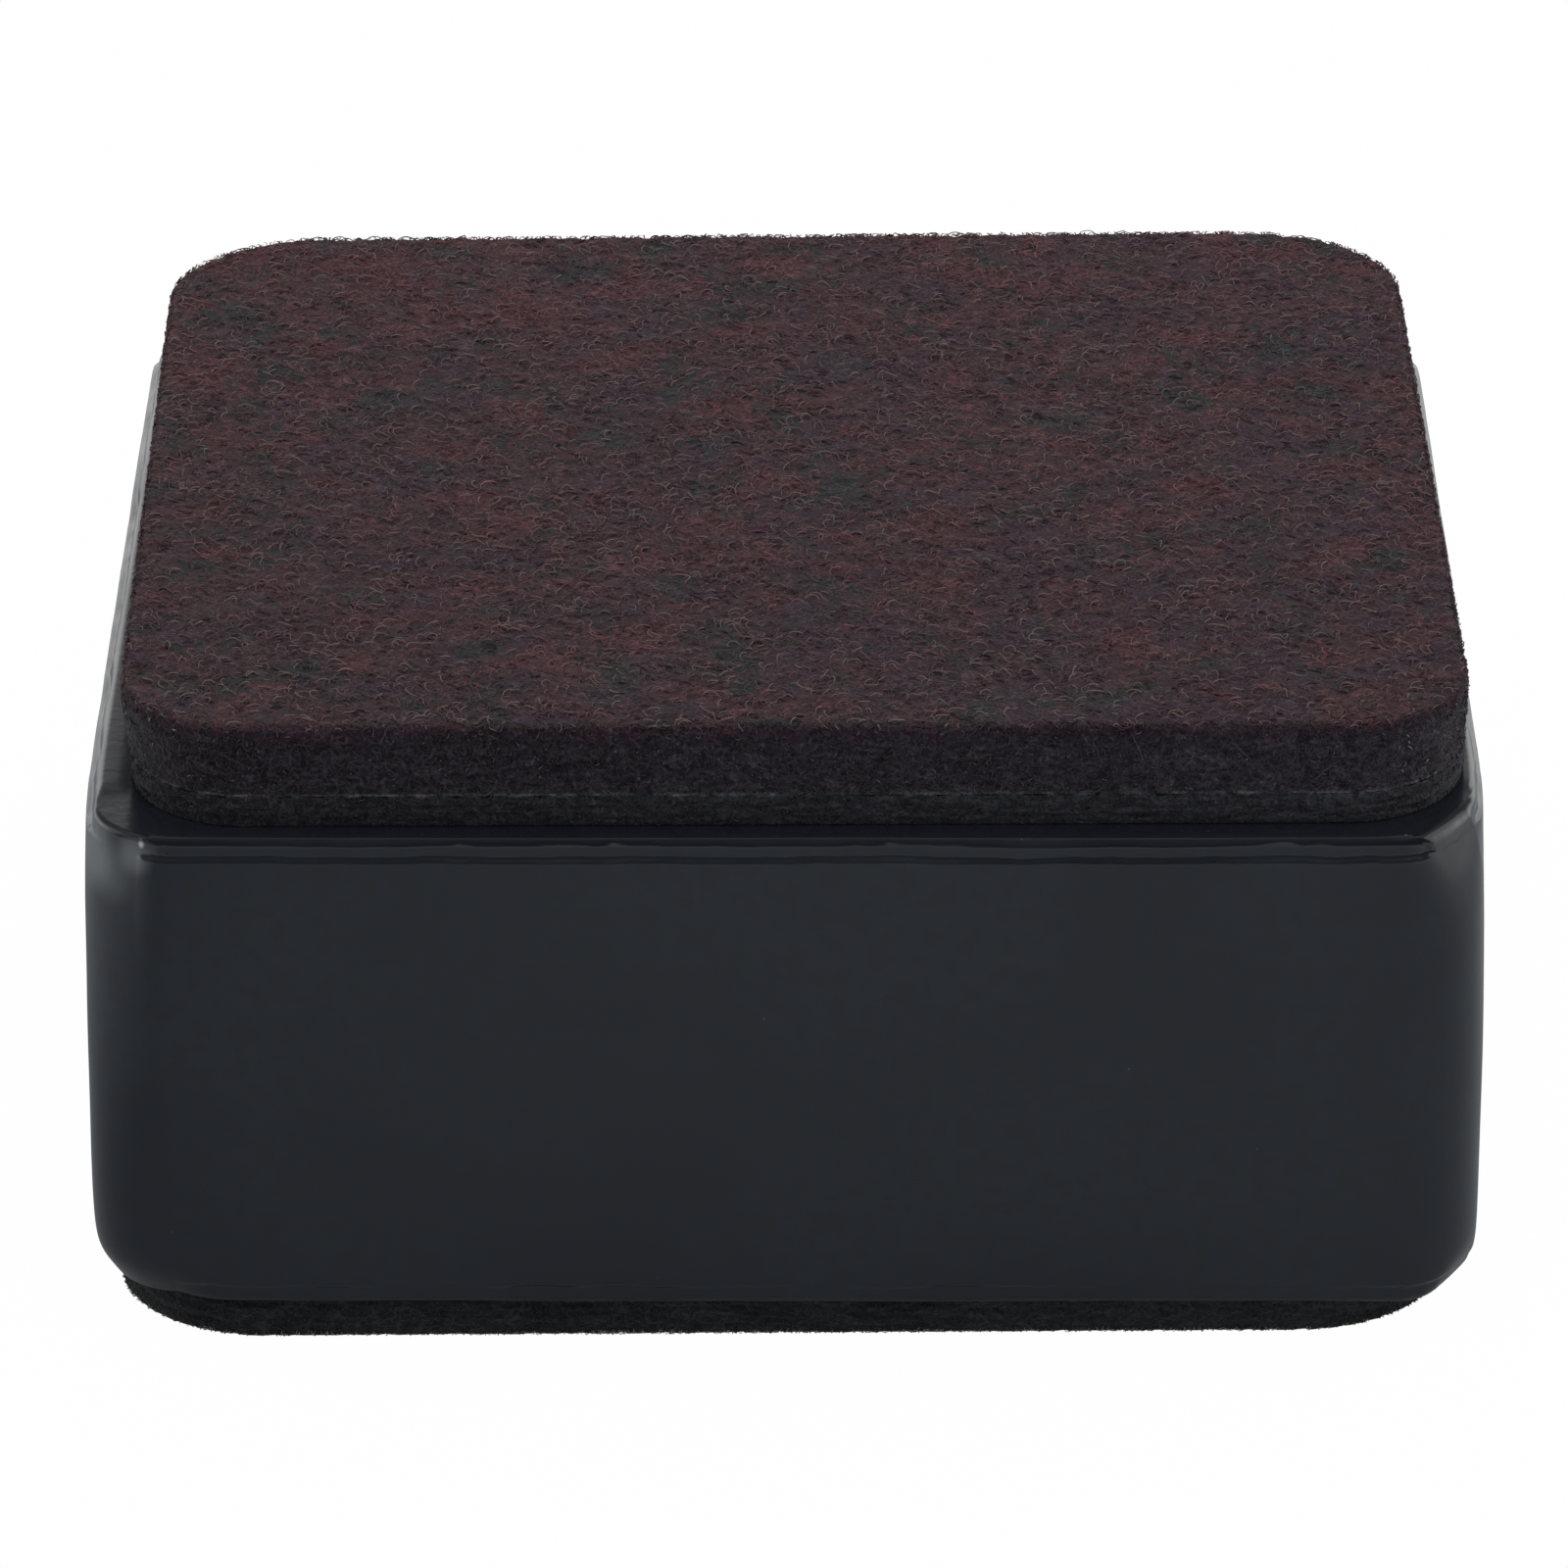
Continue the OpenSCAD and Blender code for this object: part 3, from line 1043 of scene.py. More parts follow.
    def bead_profile(self, end: End) -> tuple[np.ndarray, np.ndarray]:
        """Lays out the weld bead: a ledge that swells to a round crest, a flank, and a toe.

        Args:
            end: which end.

        Returns:
            Insets from the tube's side, and heights past the tube's cut end, from the plate to the tube.
        """
        bend = np.linspace(0, math.pi / 2, 9)
        crest = self.proud + self.crown - self.crest_r
        ledge = np.linspace(self.bead_root, self.flank_in[end] + self.crest_r, 11)[:-1]
        swell = self.proud + self.crown * smooth_step(ledge[1], ledge[-1], ledge)
        flank = np.concatenate([np.linspace(crest, self.toe[1], 4)[1:], np.linspace(self.toe[1], 0, 10)[1:]])
        crest_in = self.flank_in[end] + self.crest_r * (1 - np.sin(bend))
        inset = np.concatenate([ledge, crest_in, self.toe_inset(end, flank)])
        return inset, np.concatenate([swell, crest + self.crest_r * np.cos(bend), flank])

    def shell(self) -> tuple[np.ndarray, np.ndarray, int]:
        """Works out the block's whole skin, from the top plate down to the bottom plate.

        Returns:
            The points, the normals, and the number of rows in each bead.
        """
        (top_in, bead_up), (low_in, _) = (self.bead_profile(end) for end in End)
        rows = len(bead_up)
        top, bottom = self.ends[End.TOP], self.ends[End.BOTTOM]
        deepest = max(f.length for facets in self.facets.values() for f in facets)
        start = -self.toe[0]
        near = np.concatenate([np.linspace(0, start, 4)[1:], np.linspace(start, deepest, 20)[1:]])
        middle = np.linspace(top - deepest, bottom + deepest, 12)[1:-1]
        low_half = np.concatenate([bottom + near[::-1], bottom - bead_up[::-1]])
        rise = np.concatenate([top + bead_up, top - near, middle, low_half])
        past = np.maximum(rise - top, bottom - rise)
        relief = np.where(rise > (top + bottom) / 2, *(self.toe_inset(end, past) for end in End))
        inset = np.concatenate([top_in, relief[rows:-rows], low_in[::-1]])
        relief = relief * np.clip((self.bead_root - inset) / (self.bead_root - self.relief_depth), 0, 1)
        shape = (len(self.ring.points), len(rise))
        inset, rise, relief = (np.broadcast_to(row, shape) for row in (inset, rise, relief))
        place = self.spread(rise)
        past = np.maximum(rise - top, bottom - rise)
        before, below = self.flank_fade
        flank = smooth_step(-before, self.toe[1], past) * smooth_step(self.proud, self.proud - below, past)
        first, full, last = self.toe_fade
        toe = smooth_step(first, full, past) * smooth_step(self.toe[1] + last, last, past)
        wander, creep = (
            sum(height * grain.at(place) for height, grain in layers) for layers in (self.wander, self.creep)
        )
        points, dressed = self.skin(inset + wander * flank, rise + creep * toe, relief)
        low, high = self.level_fade
        level = dressed * smooth_step(self.proud - low, self.proud - high, past)
        upright = np.sign(rise - (top + bottom) / 2)[..., None] * np.array([0, 0, 1])
        normals = self.skin_normals(points) * (1 - level[..., None]) + upright * level[..., None]
        return points, unit(normals), rows

    def tube(self, points: np.ndarray, normals: np.ndarray) -> bpy.types.Object:
        """Builds the tube from its part of the skin, closed along the bore.

        Args:
            points, normals: the skin between the two beads.

        Returns:
            The piece.
        """
        bore = self.hidden(np.full(4, self.wall), np.linspace(self.ends[End.BOTTOM], self.ends[End.TOP], 4))
        inwards = np.repeat(-self.ring.normals[:, None], 4, 1)
        inwards = np.concatenate([inwards, np.zeros((*inwards.shape[:2], 1))], -1)
        points, normals = np.concatenate([points, bore], 1), np.concatenate([normals, inwards], 1)
        faces = grid_faces(points.shape[0], points.shape[1], True, True, False)
        mesh = build_mesh("painted_tube", points.reshape(-1, 3), [faces], normals.reshape(-1, 3))
        return add_piece(mesh, self.paint, ["tube_shell"])

    def bead(self, end: End, points: np.ndarray, normals: np.ndarray) -> tuple[np.ndarray, np.ndarray]:
        """Closes the skin of one bead along the tube's cut end.

        Args:
            end: which end.
            points, normals: the bead's part of the skin.

        Returns:
            The closed section's points and normals, column by row.
        """
        way = 1 if end is End.TOP else -1
        inset = np.array([self.bead_root - self.root_blend, self.bead_root])[::way]
        under = self.hidden(inset, np.full(2, self.ends[end]))
        under_normals = np.zeros(under.shape) + np.array([0, 0, -way])
        return np.concatenate([points, under], 1), np.concatenate([normals, under_normals], 1)

    def bead_piece(
        self, name: str, spans: Sequence[np.ndarray], stands_for: str, section: tuple[np.ndarray, np.ndarray]
    ) -> bpy.types.Object:
        """Cuts stretches out of a bead and closes their ends.

        Args:
            name: the piece's name.
            spans: for each stretch, the columns that it covers.
            stands_for: the node that it replaces.
            section: the bead's points and normals.

        Returns:
            The piece.
        """
        points, normals = section
        rows = points.shape[1]
        blocks, caps = [], []
        for number, span in enumerate(spans):
            first = number * len(span) * rows
            last = first + (len(span) - 1) * rows
            blocks.append(first + grid_faces(len(span), rows, False, True, False))
            loop = np.arange(rows)
            caps.append(np.stack([first + loop[::-1], last + loop]))
        chosen = np.concatenate(spans)
        mesh = build_mesh(
            name,
            points[chosen].reshape(-1, 3),
            [np.concatenate(blocks), np.concatenate(caps)],
            normals[chosen].reshape(-1, 3),
        )
        return add_piece(mesh, self.paint, [stands_for])

    def beads(self, end: End, section: tuple[np.ndarray, np.ndarray]) -> None:
        """Builds the four straight runs and the four corner runs of one end.

        Args:
            end: which end.
            section: the closed bead's points and normals.
        """
        step = self.per_side + self.per_corner
        total = len(self.ring.points)
        for side in Side:
            span = side.value * step + np.arange(self.per_side + 1)
            word = side.name.lower()
            self.bead_piece(f"{end.value}_bead_{word}", [span % total], f"{end.value}_weld_{word}", section)
        start = self.per_side + np.arange(self.per_corner + 1)
        spans = [(side.value * step + start) % total for side in Side]
        self.bead_piece(f"{end.value}_corner_beads", spans, f"{end.value}_corner_welds", section)

    def build(self) -> None:
        """Builds the whole block."""
        points, normals, rows = self.shell()
        self.tube(points[:, rows - 1 : 1 - rows], normals[:, rows - 1 : 1 - rows])
        self.beads(End.TOP, self.bead(End.TOP, points[:, :rows], normals[:, :rows]))
        self.beads(End.BOTTOM, self.bead(End.BOTTOM, points[:, -rows:], normals[:, -rows:]))
        for node in ("top_plate", "bottom_plate"):
            dress(node, self.paint)


def dress(node: str, material: bpy.types.Material) -> None:
    """Gives a node of the frame, whose shape is right as it is, its finish."""
    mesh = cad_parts[node].data
    mesh.materials.clear()
    mesh.materials.append(material)
    log.info("%s: finish %s", node, material.name)


@dataclass(frozen=True)
class FibreCrop:
    """How one crop of loose fibres is drawn. Lengths are in millimetres.

    Attributes:
        name: the first part of its pieces' names.
        count: how many fibres.
        seed: picks them.
        length, thickness: least and greatest of each.
        curl: spread of the steady bend, in radians to a millimetre.
        wave: spread of the swinging bend, in radians.
        lift: least and greatest height of a fibre's middle.
        coil: least and greatest radius of the coils that it winds in.
        pace: least and greatest pace of the coils, in radians to a millimetre.
        sink: how deep the ends dip.
        heading: spread of the direction from the first axis, in radians.
        rings: rings of three points along each fibre.
        sides: how far to the left or right a wall must face for a fibre to grow on it, from 0 to 1.
    """

    name: str
    count: int
    seed: int
    length: tuple[float, float]
    thickness: tuple[float, float]
    curl: float
    wave: float
    lift: tuple[float, float]
    coil: tuple[float, float] = (0.0, 0.0)
    pace: tuple[float, float] = (3.0, 6.5)
    sink: float = 0.06
    heading: float = 3.0
    rings: int = 9
    sides: float = 0.0

    def sweep(self, rng: np.random.Generator, roots: np.ndarray, axes: np.ndarray) -> np.ndarray:
        """Sweeps a three-sided section along each fibre.

        The heading is h + curl s + wave sin(w s + p), and the path is the running sum of its cosine and
        sine. The path winds round that line as coil cos(v s + q) beside it and 0.5 coil sin(v s + q) above
        it, and it dips at both ends.

        Args:
            rng: the crop's random numbers.
            roots: the fibres' middles.
            axes: for each fibre its first axis, second axis and outward direction.

        Returns:
            The points, by fibre, ring, corner and axis.
        """
        n = len(roots)
        t = np.linspace(-0.5, 0.5, self.rings)
        length = rng.uniform(*self.length, n)[:, None]
        run = t[None] * length
        heading = rng.normal(0, self.heading, n)[:, None] + rng.normal(0, self.curl, n)[:, None] * run
        swing = rng.uniform(2.0, 5.0, n)[:, None] * run + rng.uniform(0, 2 * math.pi, n)[:, None]
        heading = heading + rng.normal(0, self.wave, n)[:, None] * np.sin(swing)
        step = length / (self.rings - 1)
        along = np.cumsum(np.cos(heading) * step, 1)
        across = np.cumsum(np.sin(heading) * step, 1)
        middle = self.rings // 2
        along = along - along[:, middle : middle + 1]
        across = across - across[:, middle : middle + 1]
        lift = rng.uniform(*self.lift, n)[:, None]
        billow = rng.uniform(*self.pace, n)[:, None] * run + rng.uniform(0, 2 * math.pi, n)[:, None]
        coil = rng.uniform(*self.coil, n)[:, None]
        along = along - coil * np.cos(billow) * np.sin(heading)
        across = across + coil * np.cos(billow) * np.cos(heading)
        rise = lift + 0.5 * coil * np.sin(billow) - (lift + self.sink) * (2 * t[None]) ** 4
        path = roots[:, None] + along[..., None] * axes[:, None, 0] + across[..., None] * axes[:, None, 1]
        path = path + rise[..., None] * axes[:, None, 2]
        tangent = unit(np.gradient(path, axis=1))
        out = np.broadcast_to(axes[:, None, 2], tangent.shape)
        beside = unit(np.cross(out, tangent))
        above = np.cross(tangent, beside)
        radius = rng.uniform(*self.thickness, n)[:, None] / 2 * (1 - 0.55 * np.abs(2 * t[None]) ** 3)
        angle = math.pi / 2 + np.arange(3) * 2 * math.pi / 3
        ring = np.cos(angle)[:, None] * beside[:, :, None] + np.sin(angle)[:, None] * above[:, :, None]
        return path[:, :, None] + radius[:, :, None, None] * ring

    def faces(self, n: int) -> tuple[np.ndarray, np.ndarray]:
        """Gives the quads along n fibres and the triangles that close their ends."""
        tube = grid_faces(self.rings, 3, False, True, True)
        last = 3 * (self.rings - 1)
        caps = np.array([[2, 1, 0], [last, last + 1, last + 2]])
        first = (np.arange(n) * 3 * self.rings)[:, None, None]
        return (first + tube).reshape(-1, 4), (first + caps).reshape(-1, 3)

    def bake_places(self, n: int) -> np.ndarray:
        """Lays each fibre's faces out flat in a cell of its own in a square map.

        Args:
            n: how many fibres.

        Returns:
            The map's places for the corners of the quads and then of the end triangles.
        """
        wide = math.ceil(math.sqrt(n))
        cell = np.stack([np.arange(n) % wide, np.arange(n) // wide], 1)[:, None, None]
        part = np.arange((self.rings - 1) * 3)
        low = np.stack([part // 3 / (self.rings - 1), part % 3 / 4], 1)
        square = np.array([(0, 0), (1, 0), (1, 1), (0, 1)]) * np.array([0.8 / (self.rings - 1), 0.2])
        quads = low[:, None] + square[None]
        triangle = np.array([(0, 0), (0.3, 0), (0, 0.18)])
        caps = np.array([(0.05, 0.78), (0.55, 0.78)])[:, None] + triangle[None]
        laid = [(cell + 0.04 + 0.92 * shape[None]) / wide for shape in (quads, caps)]
        return np.concatenate([part.reshape(-1, 2) for part in laid])

    def pieces(
        self, points: np.ndarray, tints: np.ndarray, material: bpy.types.Material, slot: str
    ) -> None:
        """Makes the crop's pieces, each with no more fibres than a piece may hold.

        Args:
            points: the swept fibres.
            tints: a colour for each fibre.
            material: their finish.
            slot: the record's material slot; not used.
        """
        most = PIECE_TRIANGLES // (6 * (self.rings - 1) + 2)
        for number, start in enumerate(range(0, len(points), most)):
            part = points[start : start + most]
            quads, caps = self.faces(len(part))
            mesh = build_mesh(f"{self.name}_{number + 1}", part.reshape(-1, 3), [quads, caps])
            tint_points(mesh, np.repeat(tints[start : start + most], 3 * self.rings, 0))
            places = mesh.uv_layers.new(name=BAKE_MAP)
            places.uv.foreach_set("vector", self.bake_places(len(part)).astype(np.float32).ravel())
            add_piece(mesh, material)


@dataclass(frozen=True)
class Mottle:
    """How the felt's colours gather: each one has a random field, and the highest field shows most.

    Attributes:
        colours: the colours.
        bias: what is added to each colour's field.
        lean: what is added to each colour's field for each millimetre to the right and to the back.
        fade, painted_light_across: painted light: how much lighter the felt is painted for each millimetre
            to the back, where its sheen shows, and to the right.
        sizes: wavelengths of the broad patches and of their ragged edges, in millimetres.
        sharp: how sharply one colour gives way to another.
        seed: picks the fields.
    """

    colours: tuple
    bias: tuple[float, ...]
    lean: tuple[tuple[float, float], ...]
    sizes: tuple[float, float] = (9.0, 2.2)
    sharp: float = 2.2
    fade: float = 0.0
    painted_light_across: float = 0.0
    seed: int = 21

    def tone(self, points: np.ndarray) -> np.ndarray:
        """Gives the felt's colour: the colours weighted by exp(sharp * field).

        Args:
            points: places in millimetres.

        Returns:
            A linear colour for each place.
        """
        fields = []
        for k, (extra, lean) in enumerate(zip(self.bias, self.lean)):
            broad = Grain(self.seed + k, (self.sizes[0],) * 3, 36).at(points)
            fine = Grain(self.seed + 20 + k, (self.sizes[1],) * 3, 48).at(points)
            fields.append(broad + 0.7 * fine + extra + points[..., :2] @ np.array(lean))
        weights = np.exp(self.sharp * np.stack(fields, -1))
        # painted light: the colour is painted lighter towards the back and towards the right
        light = 1 + self.painted_light_across * points[..., :1] + self.fade * points[..., 1:2]
        return weights / weights.sum(-1, keepdims=True) @ np.array(self.colours) * light


@dataclass
class FeltLayer:
    """One layer of felt, in millimetres: a lid on one side, a wall round it and a flat cap on the other.

    Attributes:
        node: the node of the frame that it replaces.
        corners: radius of the front corners and of the back corners.
        turn: how far it is turned from square, in degrees.
        finish: its material.
        slot: the record's material slot.
        mottle: how its colours gather.
        tuck: how far the wall lies in at its upper end, on the front, right, back and left.
        taper: how much further it leans in at its lower end, on the same sides.
        skew: how far the back edge is turned on from the front edge, in radians.
        growth, retreat: how far the back edge and the front edge lie behind the node's.
        shoulder: radius of the soft edge round the lid.
        foot: radius of the edge at the other end of the wall.
        droop: how far that edge hangs past the cap.
        bumps: height of the lid's unevenness.
        ragged: unevenness of the wall.
        columns: points along each side of the lid.
        faces_down: whether the lid is underneath.
        flat_lid: whether the lid is hidden and so one flat face.
        seed: picks its unevenness.
    """

    node: str
    corners: tuple[float, float]
    turn: float
    finish: bpy.types.Material
    slot: str
    mottle: Mottle
    tuck: tuple[float, float, float, float] = (0.0, 0.0, 0.0, 0.0)
    taper: tuple[float, float, float, float] = (0.0, 0.0, 0.0, 0.0)
    skew: float = 0.0
    growth: float = 0.0
    retreat: float = 0.0
    shoulder: float = 0.2
    foot: float = 0.08
    droop: float = 0.0
    bumps: float = 0.05
    ragged: float = 0.05
    columns: int = 216
    faces_down: bool = False
    flat_lid: bool = False
    seed: int = 31

    def __post_init__(self) -> None:
        """Reads the layer's place from the frame: the box of a turned rectangle gives back its sides."""
        low, high = node_box(self.node)
        angle = math.radians(abs(self.turn))
        mix = np.array([[math.cos(angle), math.sin(angle)], [math.sin(angle), math.cos(angle)]])
        radius = sum(self.corners) / 2
        half = np.linalg.solve(mix, (high - low)[:2] - 2 * radius) / 2 + radius
        centre = (high + low)[:2] / 2
        self.low, self.high = float(low[2]), float(high[2])
        self.way = -1.0 if self.faces_down else 1.0
        self.level = self.low if self.faces_down else self.high
        self.outline = Outline(*map(float, half), *self.corners, tuple(map(float, centre)), self.turn)

    def wall_profile(self) -> tuple[np.ndarray, np.ndarray]:
        """Lays out the wall: a quarter round, a straight run, a small quarter round and a step to the cap.

        Returns:
            Distances out from the lid's edge, and down from the lid.
        """
        height = self.high - self.low
        end = height + self.droop - self.foot
        bend = np.linspace(0, math.pi / 2, 6)
        deep = np.linspace(self.shoulder, end, 16)[1:-1]
        out = [self.shoulder * np.sin(bend[1:]), np.full(len(deep), self.shoulder)]
        out += [self.shoulder - self.foot * (1 - np.cos(bend)), [self.shoulder - 0.5]]
        down = [self.shoulder * (1 - np.cos(bend[1:])), deep, end + self.foot * np.sin(bend), [height]]
        return np.concatenate(out), np.concatenate(down)

    def rough_lid(self) -> tuple[np.ndarray, np.ndarray]:
        """Lays the lid's grid and pits it, with no point past the layer's own face.

        Returns:
            The grid's points, and for each one the outward direction of the nearest edge.
        """
        plan, outwards = self.outline.inset(self.shoulder).lid(self.columns)
        lid = np.concatenate([plan, np.full((*plan.shape[:2], 1), self.level)], -1)
        rough = Grain(self.seed, (1.0, 1.0, 1.0), 64).at(lid)
        rough = rough + 0.7 * Grain(self.seed + 1, (0.5, 0.5, 0.5), 64).at(lid)
        lid[..., 2] -= self.way * self.bumps * (1 - np.clip(rough, -2.2, 1.0))
        return lid, outwards

    def torn_wall(self, rim: np.ndarray, facing: np.ndarray) -> np.ndarray:
        """Hangs the wall from the lid's rim and tears it.

        Args:
            rim: points round the lid.
            facing: the outward direction at each.

        Returns:
            The wall's points, column by row.
        """
        out, down = self.wall_profile()
        fade = np.linspace(1, 0, len(out)) ** 2
        rise = self.level - self.way * down[None] + (rim[:, None, 2] - self.level) * fade
        flat = rim[:, None, :2] + facing[:, None] * out[None, :, None]
        base = np.concatenate([flat, rise[..., None]], -1)
        torn = Grain(self.seed + 2, (5.0, 5.0, 0.35), 64).at(base)
        torn = torn + 0.6 * Grain(self.seed + 3, (0.7, 0.7, 0.4), 64).at(base)
        torn = torn + 0.8 * Grain(self.seed + 4, (7.0, 7.0, 9.0)).at(base)
        height = self.high - self.low
        steady = smooth_step(-0.15, 0.4, np.minimum(down, height - down))
        steady = smooth_step(0.0, self.shoulder, out) * steady
        push = self.ragged * steady[None] * np.clip(torn, -3, 1.5)
        push = push - self.leaning(facing, np.clip(down / height, 0, 1)[None])
        base[..., :2] += facing[:, None] * push[..., None]
        return base

    def leaning(self, facing: np.ndarray, low: np.ndarray) -> np.ndarray:
        """Gives how far the wall leans in where it faces each direction, a share of its height down."""
        ways = np.array([(0, -1), (1, 0), (0, 1), (-1, 0)])
        shares = np.maximum(facing @ ways.T, 0) ** 2
        return (shares @ np.array(self.tuck))[:, None] + (shares @ np.array(self.taper))[:, None] * low

    def skewed(self, points: np.ndarray) -> np.ndarray:
        """Pulls the layer out of square: with b from 0 at the front to 1 at the back, y moves by
        (skew * x + growth) * b + retreat * (1 - b).
        """
        share = (points[..., 1] - self.outline.centre[1]) / (2 * self.outline.half_y) + 0.5
        moved = points.copy()
        moved[..., 1] += (self.skew * points[..., 0] + self.growth) * share + self.retreat * (1 - share)
        return moved

    def build(self) -> bpy.types.Object:
        """Builds the layer.

        Returns:
            The piece.
        """
        lid, outwards = self.rough_lid()
        n = self.columns
        number = np.arange(n * n).reshape(n, n)
        edge = np.concatenate([number[:-1, 0], number[-1, :-1], number[:0:-1, -1], number[0, :0:-1]])
        wall = self.torn_wall(lid.reshape(-1, 3)[edge], outwards.reshape(-1, 2)[edge])
        rows = wall.shape[1]
        if self.flat_lid:
            points = wall.reshape(-1, 3)
            blocks = [self.cap(0, rows, len(edge), True)]
            first = 0
        else:
            points = np.concatenate([lid.reshape(-1, 3), wall.reshape(-1, 3)])
            first = n * n
            blocks = [grid_faces(n, n, False, False, not self.faces_down)]
            blocks.append(self.strip(np.stack([edge, first + np.arange(len(edge)) * rows], 1)))
        blocks.append(first + grid_faces(len(edge), rows, True, False, self.faces_down))
        blocks.append(self.cap(first + rows - 1, rows, len(edge), False))
        mesh = build_mesh(self.node.replace("felt", "matted"), self.skewed(points), blocks)
        tint_points(mesh, self.mottle.tone(points))
        piece = add_piece(mesh, self.finish, [self.node])
        return piece

    def strip(self, pairs: np.ndarray) -> np.ndarray:
        """Joins two loops of points, given in pairs, into a closed band of quads."""
        following = np.roll(pairs, -1, 0)
        quads = np.stack([pairs[:, 0], pairs[:, 1], following[:, 1], following[:, 0]], 1)
        return quads[:, ::-1] if self.faces_down else quads

    def cap(self, first: int, stride: int, count: int, lid_side: bool) -> np.ndarray:
        """Closes a loop of points with one flat face, on the lid's side or on the other."""
        loop = (first + np.arange(count) * stride)[None]
        return loop if lid_side != self.faces_down else loop[:, ::-1]

    def face_spots(self, rng: np.random.Generator, count: int) -> tuple[np.ndarray, np.ndarray]:
        """Picks places for fibres on the lid.

        Args:
            rng: random numbers.
            count: how many.

        Returns:
            The places, and the three axes at each.
        """
        flat = rng.uniform(-1, 1, (2 * count, 2)) * np.array([self.outline.half_x, self.outline.half_y])
        flat = flat[self.outline.depth(flat) > 0.1][:count]
        level = np.full((len(flat), 1), self.level - self.way * self.bumps)
        roots = np.concatenate([self.outline.placed(flat), level], 1)
        axes = np.array([[1.0, 0, 0], [0, self.way, 0], [0, 0, self.way]])
        return roots, np.broadcast_to(axes, (len(flat), 3, 3))

    def wall_spots(
        self, rng: np.random.Generator, count: int, band: tuple[float, float]
    ) -> tuple[np.ndarray, np.ndarray]:
        """Picks places for fibres on the wall.

        Args:
            rng: random numbers.
            count: how many.
            band: lowest and highest place.

        Returns:
            The places, and the three axes at each: along the wall, up, and out.
        """
        ring = self.outline.ring(400, 70)
        chosen = rng.integers(0, len(ring.points), count)
        near = rng.uniform(-0.2, 0.2, count)[:, None]
        normal = ring.normals[chosen]
        along = np.stack([-normal[:, 1], normal[:, 0]], 1)
        rise = rng.uniform(*band, (count, 1))
        low = np.clip((self.high - rise) / (self.high - self.low), 0, 1)
        edge = np.clip(1 - np.abs(self.level - rise) / self.shoulder, 0, 1)
        inwards = self.leaning(normal, low) + self.shoulder * (1 - np.sqrt(1 - edge**2))
        roots = np.concatenate([ring.points[chosen] + along * near - normal * inwards, rise], 1)
        level = np.zeros((count, 1))
        up = np.broadcast_to(np.array([0.0, 0, 1]), (count, 3))
        axes = np.stack([np.concatenate([along, level], 1), up, np.concatenate([normal, level], 1)], 1)
        return roots, axes

    def draped(self, points: np.ndarray, margin: float) -> np.ndarray:
        """Keeps fibres of the lid inside the outline and lets them follow the shoulder down.

        Args:
            points: places of the fibres' points.
            margin: how far inside the outline they end.

        Returns:
            The places.
        """
        inside = self.outline.kept_in(points, margin)
        near = 1 - np.clip(self.outline.depth(self.outline.unplaced(inside[..., :2])) / self.shoulder, 0, 1)
        inside[..., 2] -= self.way * self.shoulder * (1 - np.sqrt(1 - near**2))
        return inside


@dataclass(frozen=True)
class FibreTints:
    """The colours of loose fibres: that of the felt round them, or now and then a pale one.

    Attributes:
        gain: brightness of the fibres against the felt round them.
        spread: spread of that brightness.
        pale: the pale colour.
        share: how many fibres are pale.
        whitened: how far every fibre's colour goes towards the pale one.
        mingled: how far from its own place a fibre takes its colour, in millimetres.
    """

    gain: float
    spread: float
    pale: tuple
    share: float
    whitened: float = 0.0
    mingled: float = 0.0

    def pick(self, rng: np.random.Generator, roots: np.ndarray, mottle: Mottle) -> np.ndarray:
        """Picks a colour for each fibre.

        Args:
            rng: random numbers.
            roots: the fibres' middles.
            mottle: how the felt's colours gather.

        Returns:
            A linear colour for each fibre.
        """
        light = self.gain * np.exp(rng.normal(0, self.spread, (len(roots), 1)))
        share = np.where(rng.uniform(size=(len(roots), 1)) < self.share, 1.0, self.whitened)
        tones = mottle.tone(roots + rng.normal(0, 1, roots.shape) * self.mingled)
        colours = tones * light * (1 - share) + np.array(self.pale) * share
        colours[:, 3] = 1.0
        return colours


# BURGUNDY is painted lighter towards the back, and CHARCOAL and SMOKE towards the right, as painted light
BURGUNDY = Mottle(
    colours=(linear(82, 49, 53), linear(69, 49, 55), linear(62, 45, 56), linear(46, 48, 50)),
    bias=(0.35, 0.15, 0.1, -0.45),
    lean=((0.0, 0.008), (-0.008, 0.0), (0.02, -0.014), (0.0, 0.0)),
    sizes=(7.0, 1.6),
    sharp=1.9,
    fade=0.003,
)
CHARCOAL = Mottle(
    colours=(linear(35, 31, 38), linear(44, 40, 46), linear(44, 32, 43)),
    bias=(0.2, 0.0, -0.1),
    lean=((0.0, 0.0), (0.0, 0.0), (0.01, 0.0)),
    painted_light_across=0.008,
)
SMOKE = Mottle(
    colours=(linear(36, 37, 42), linear(45, 46, 49)),
    bias=(0.0, 0.0),
    lean=((0.0, 0.0), (0.0, 0.0)),
    painted_light_across=0.006,
)
SOOT = replace(SMOKE, colours=(linear(34, 37, 37), linear(41, 45, 45)), painted_light_across=0.0)


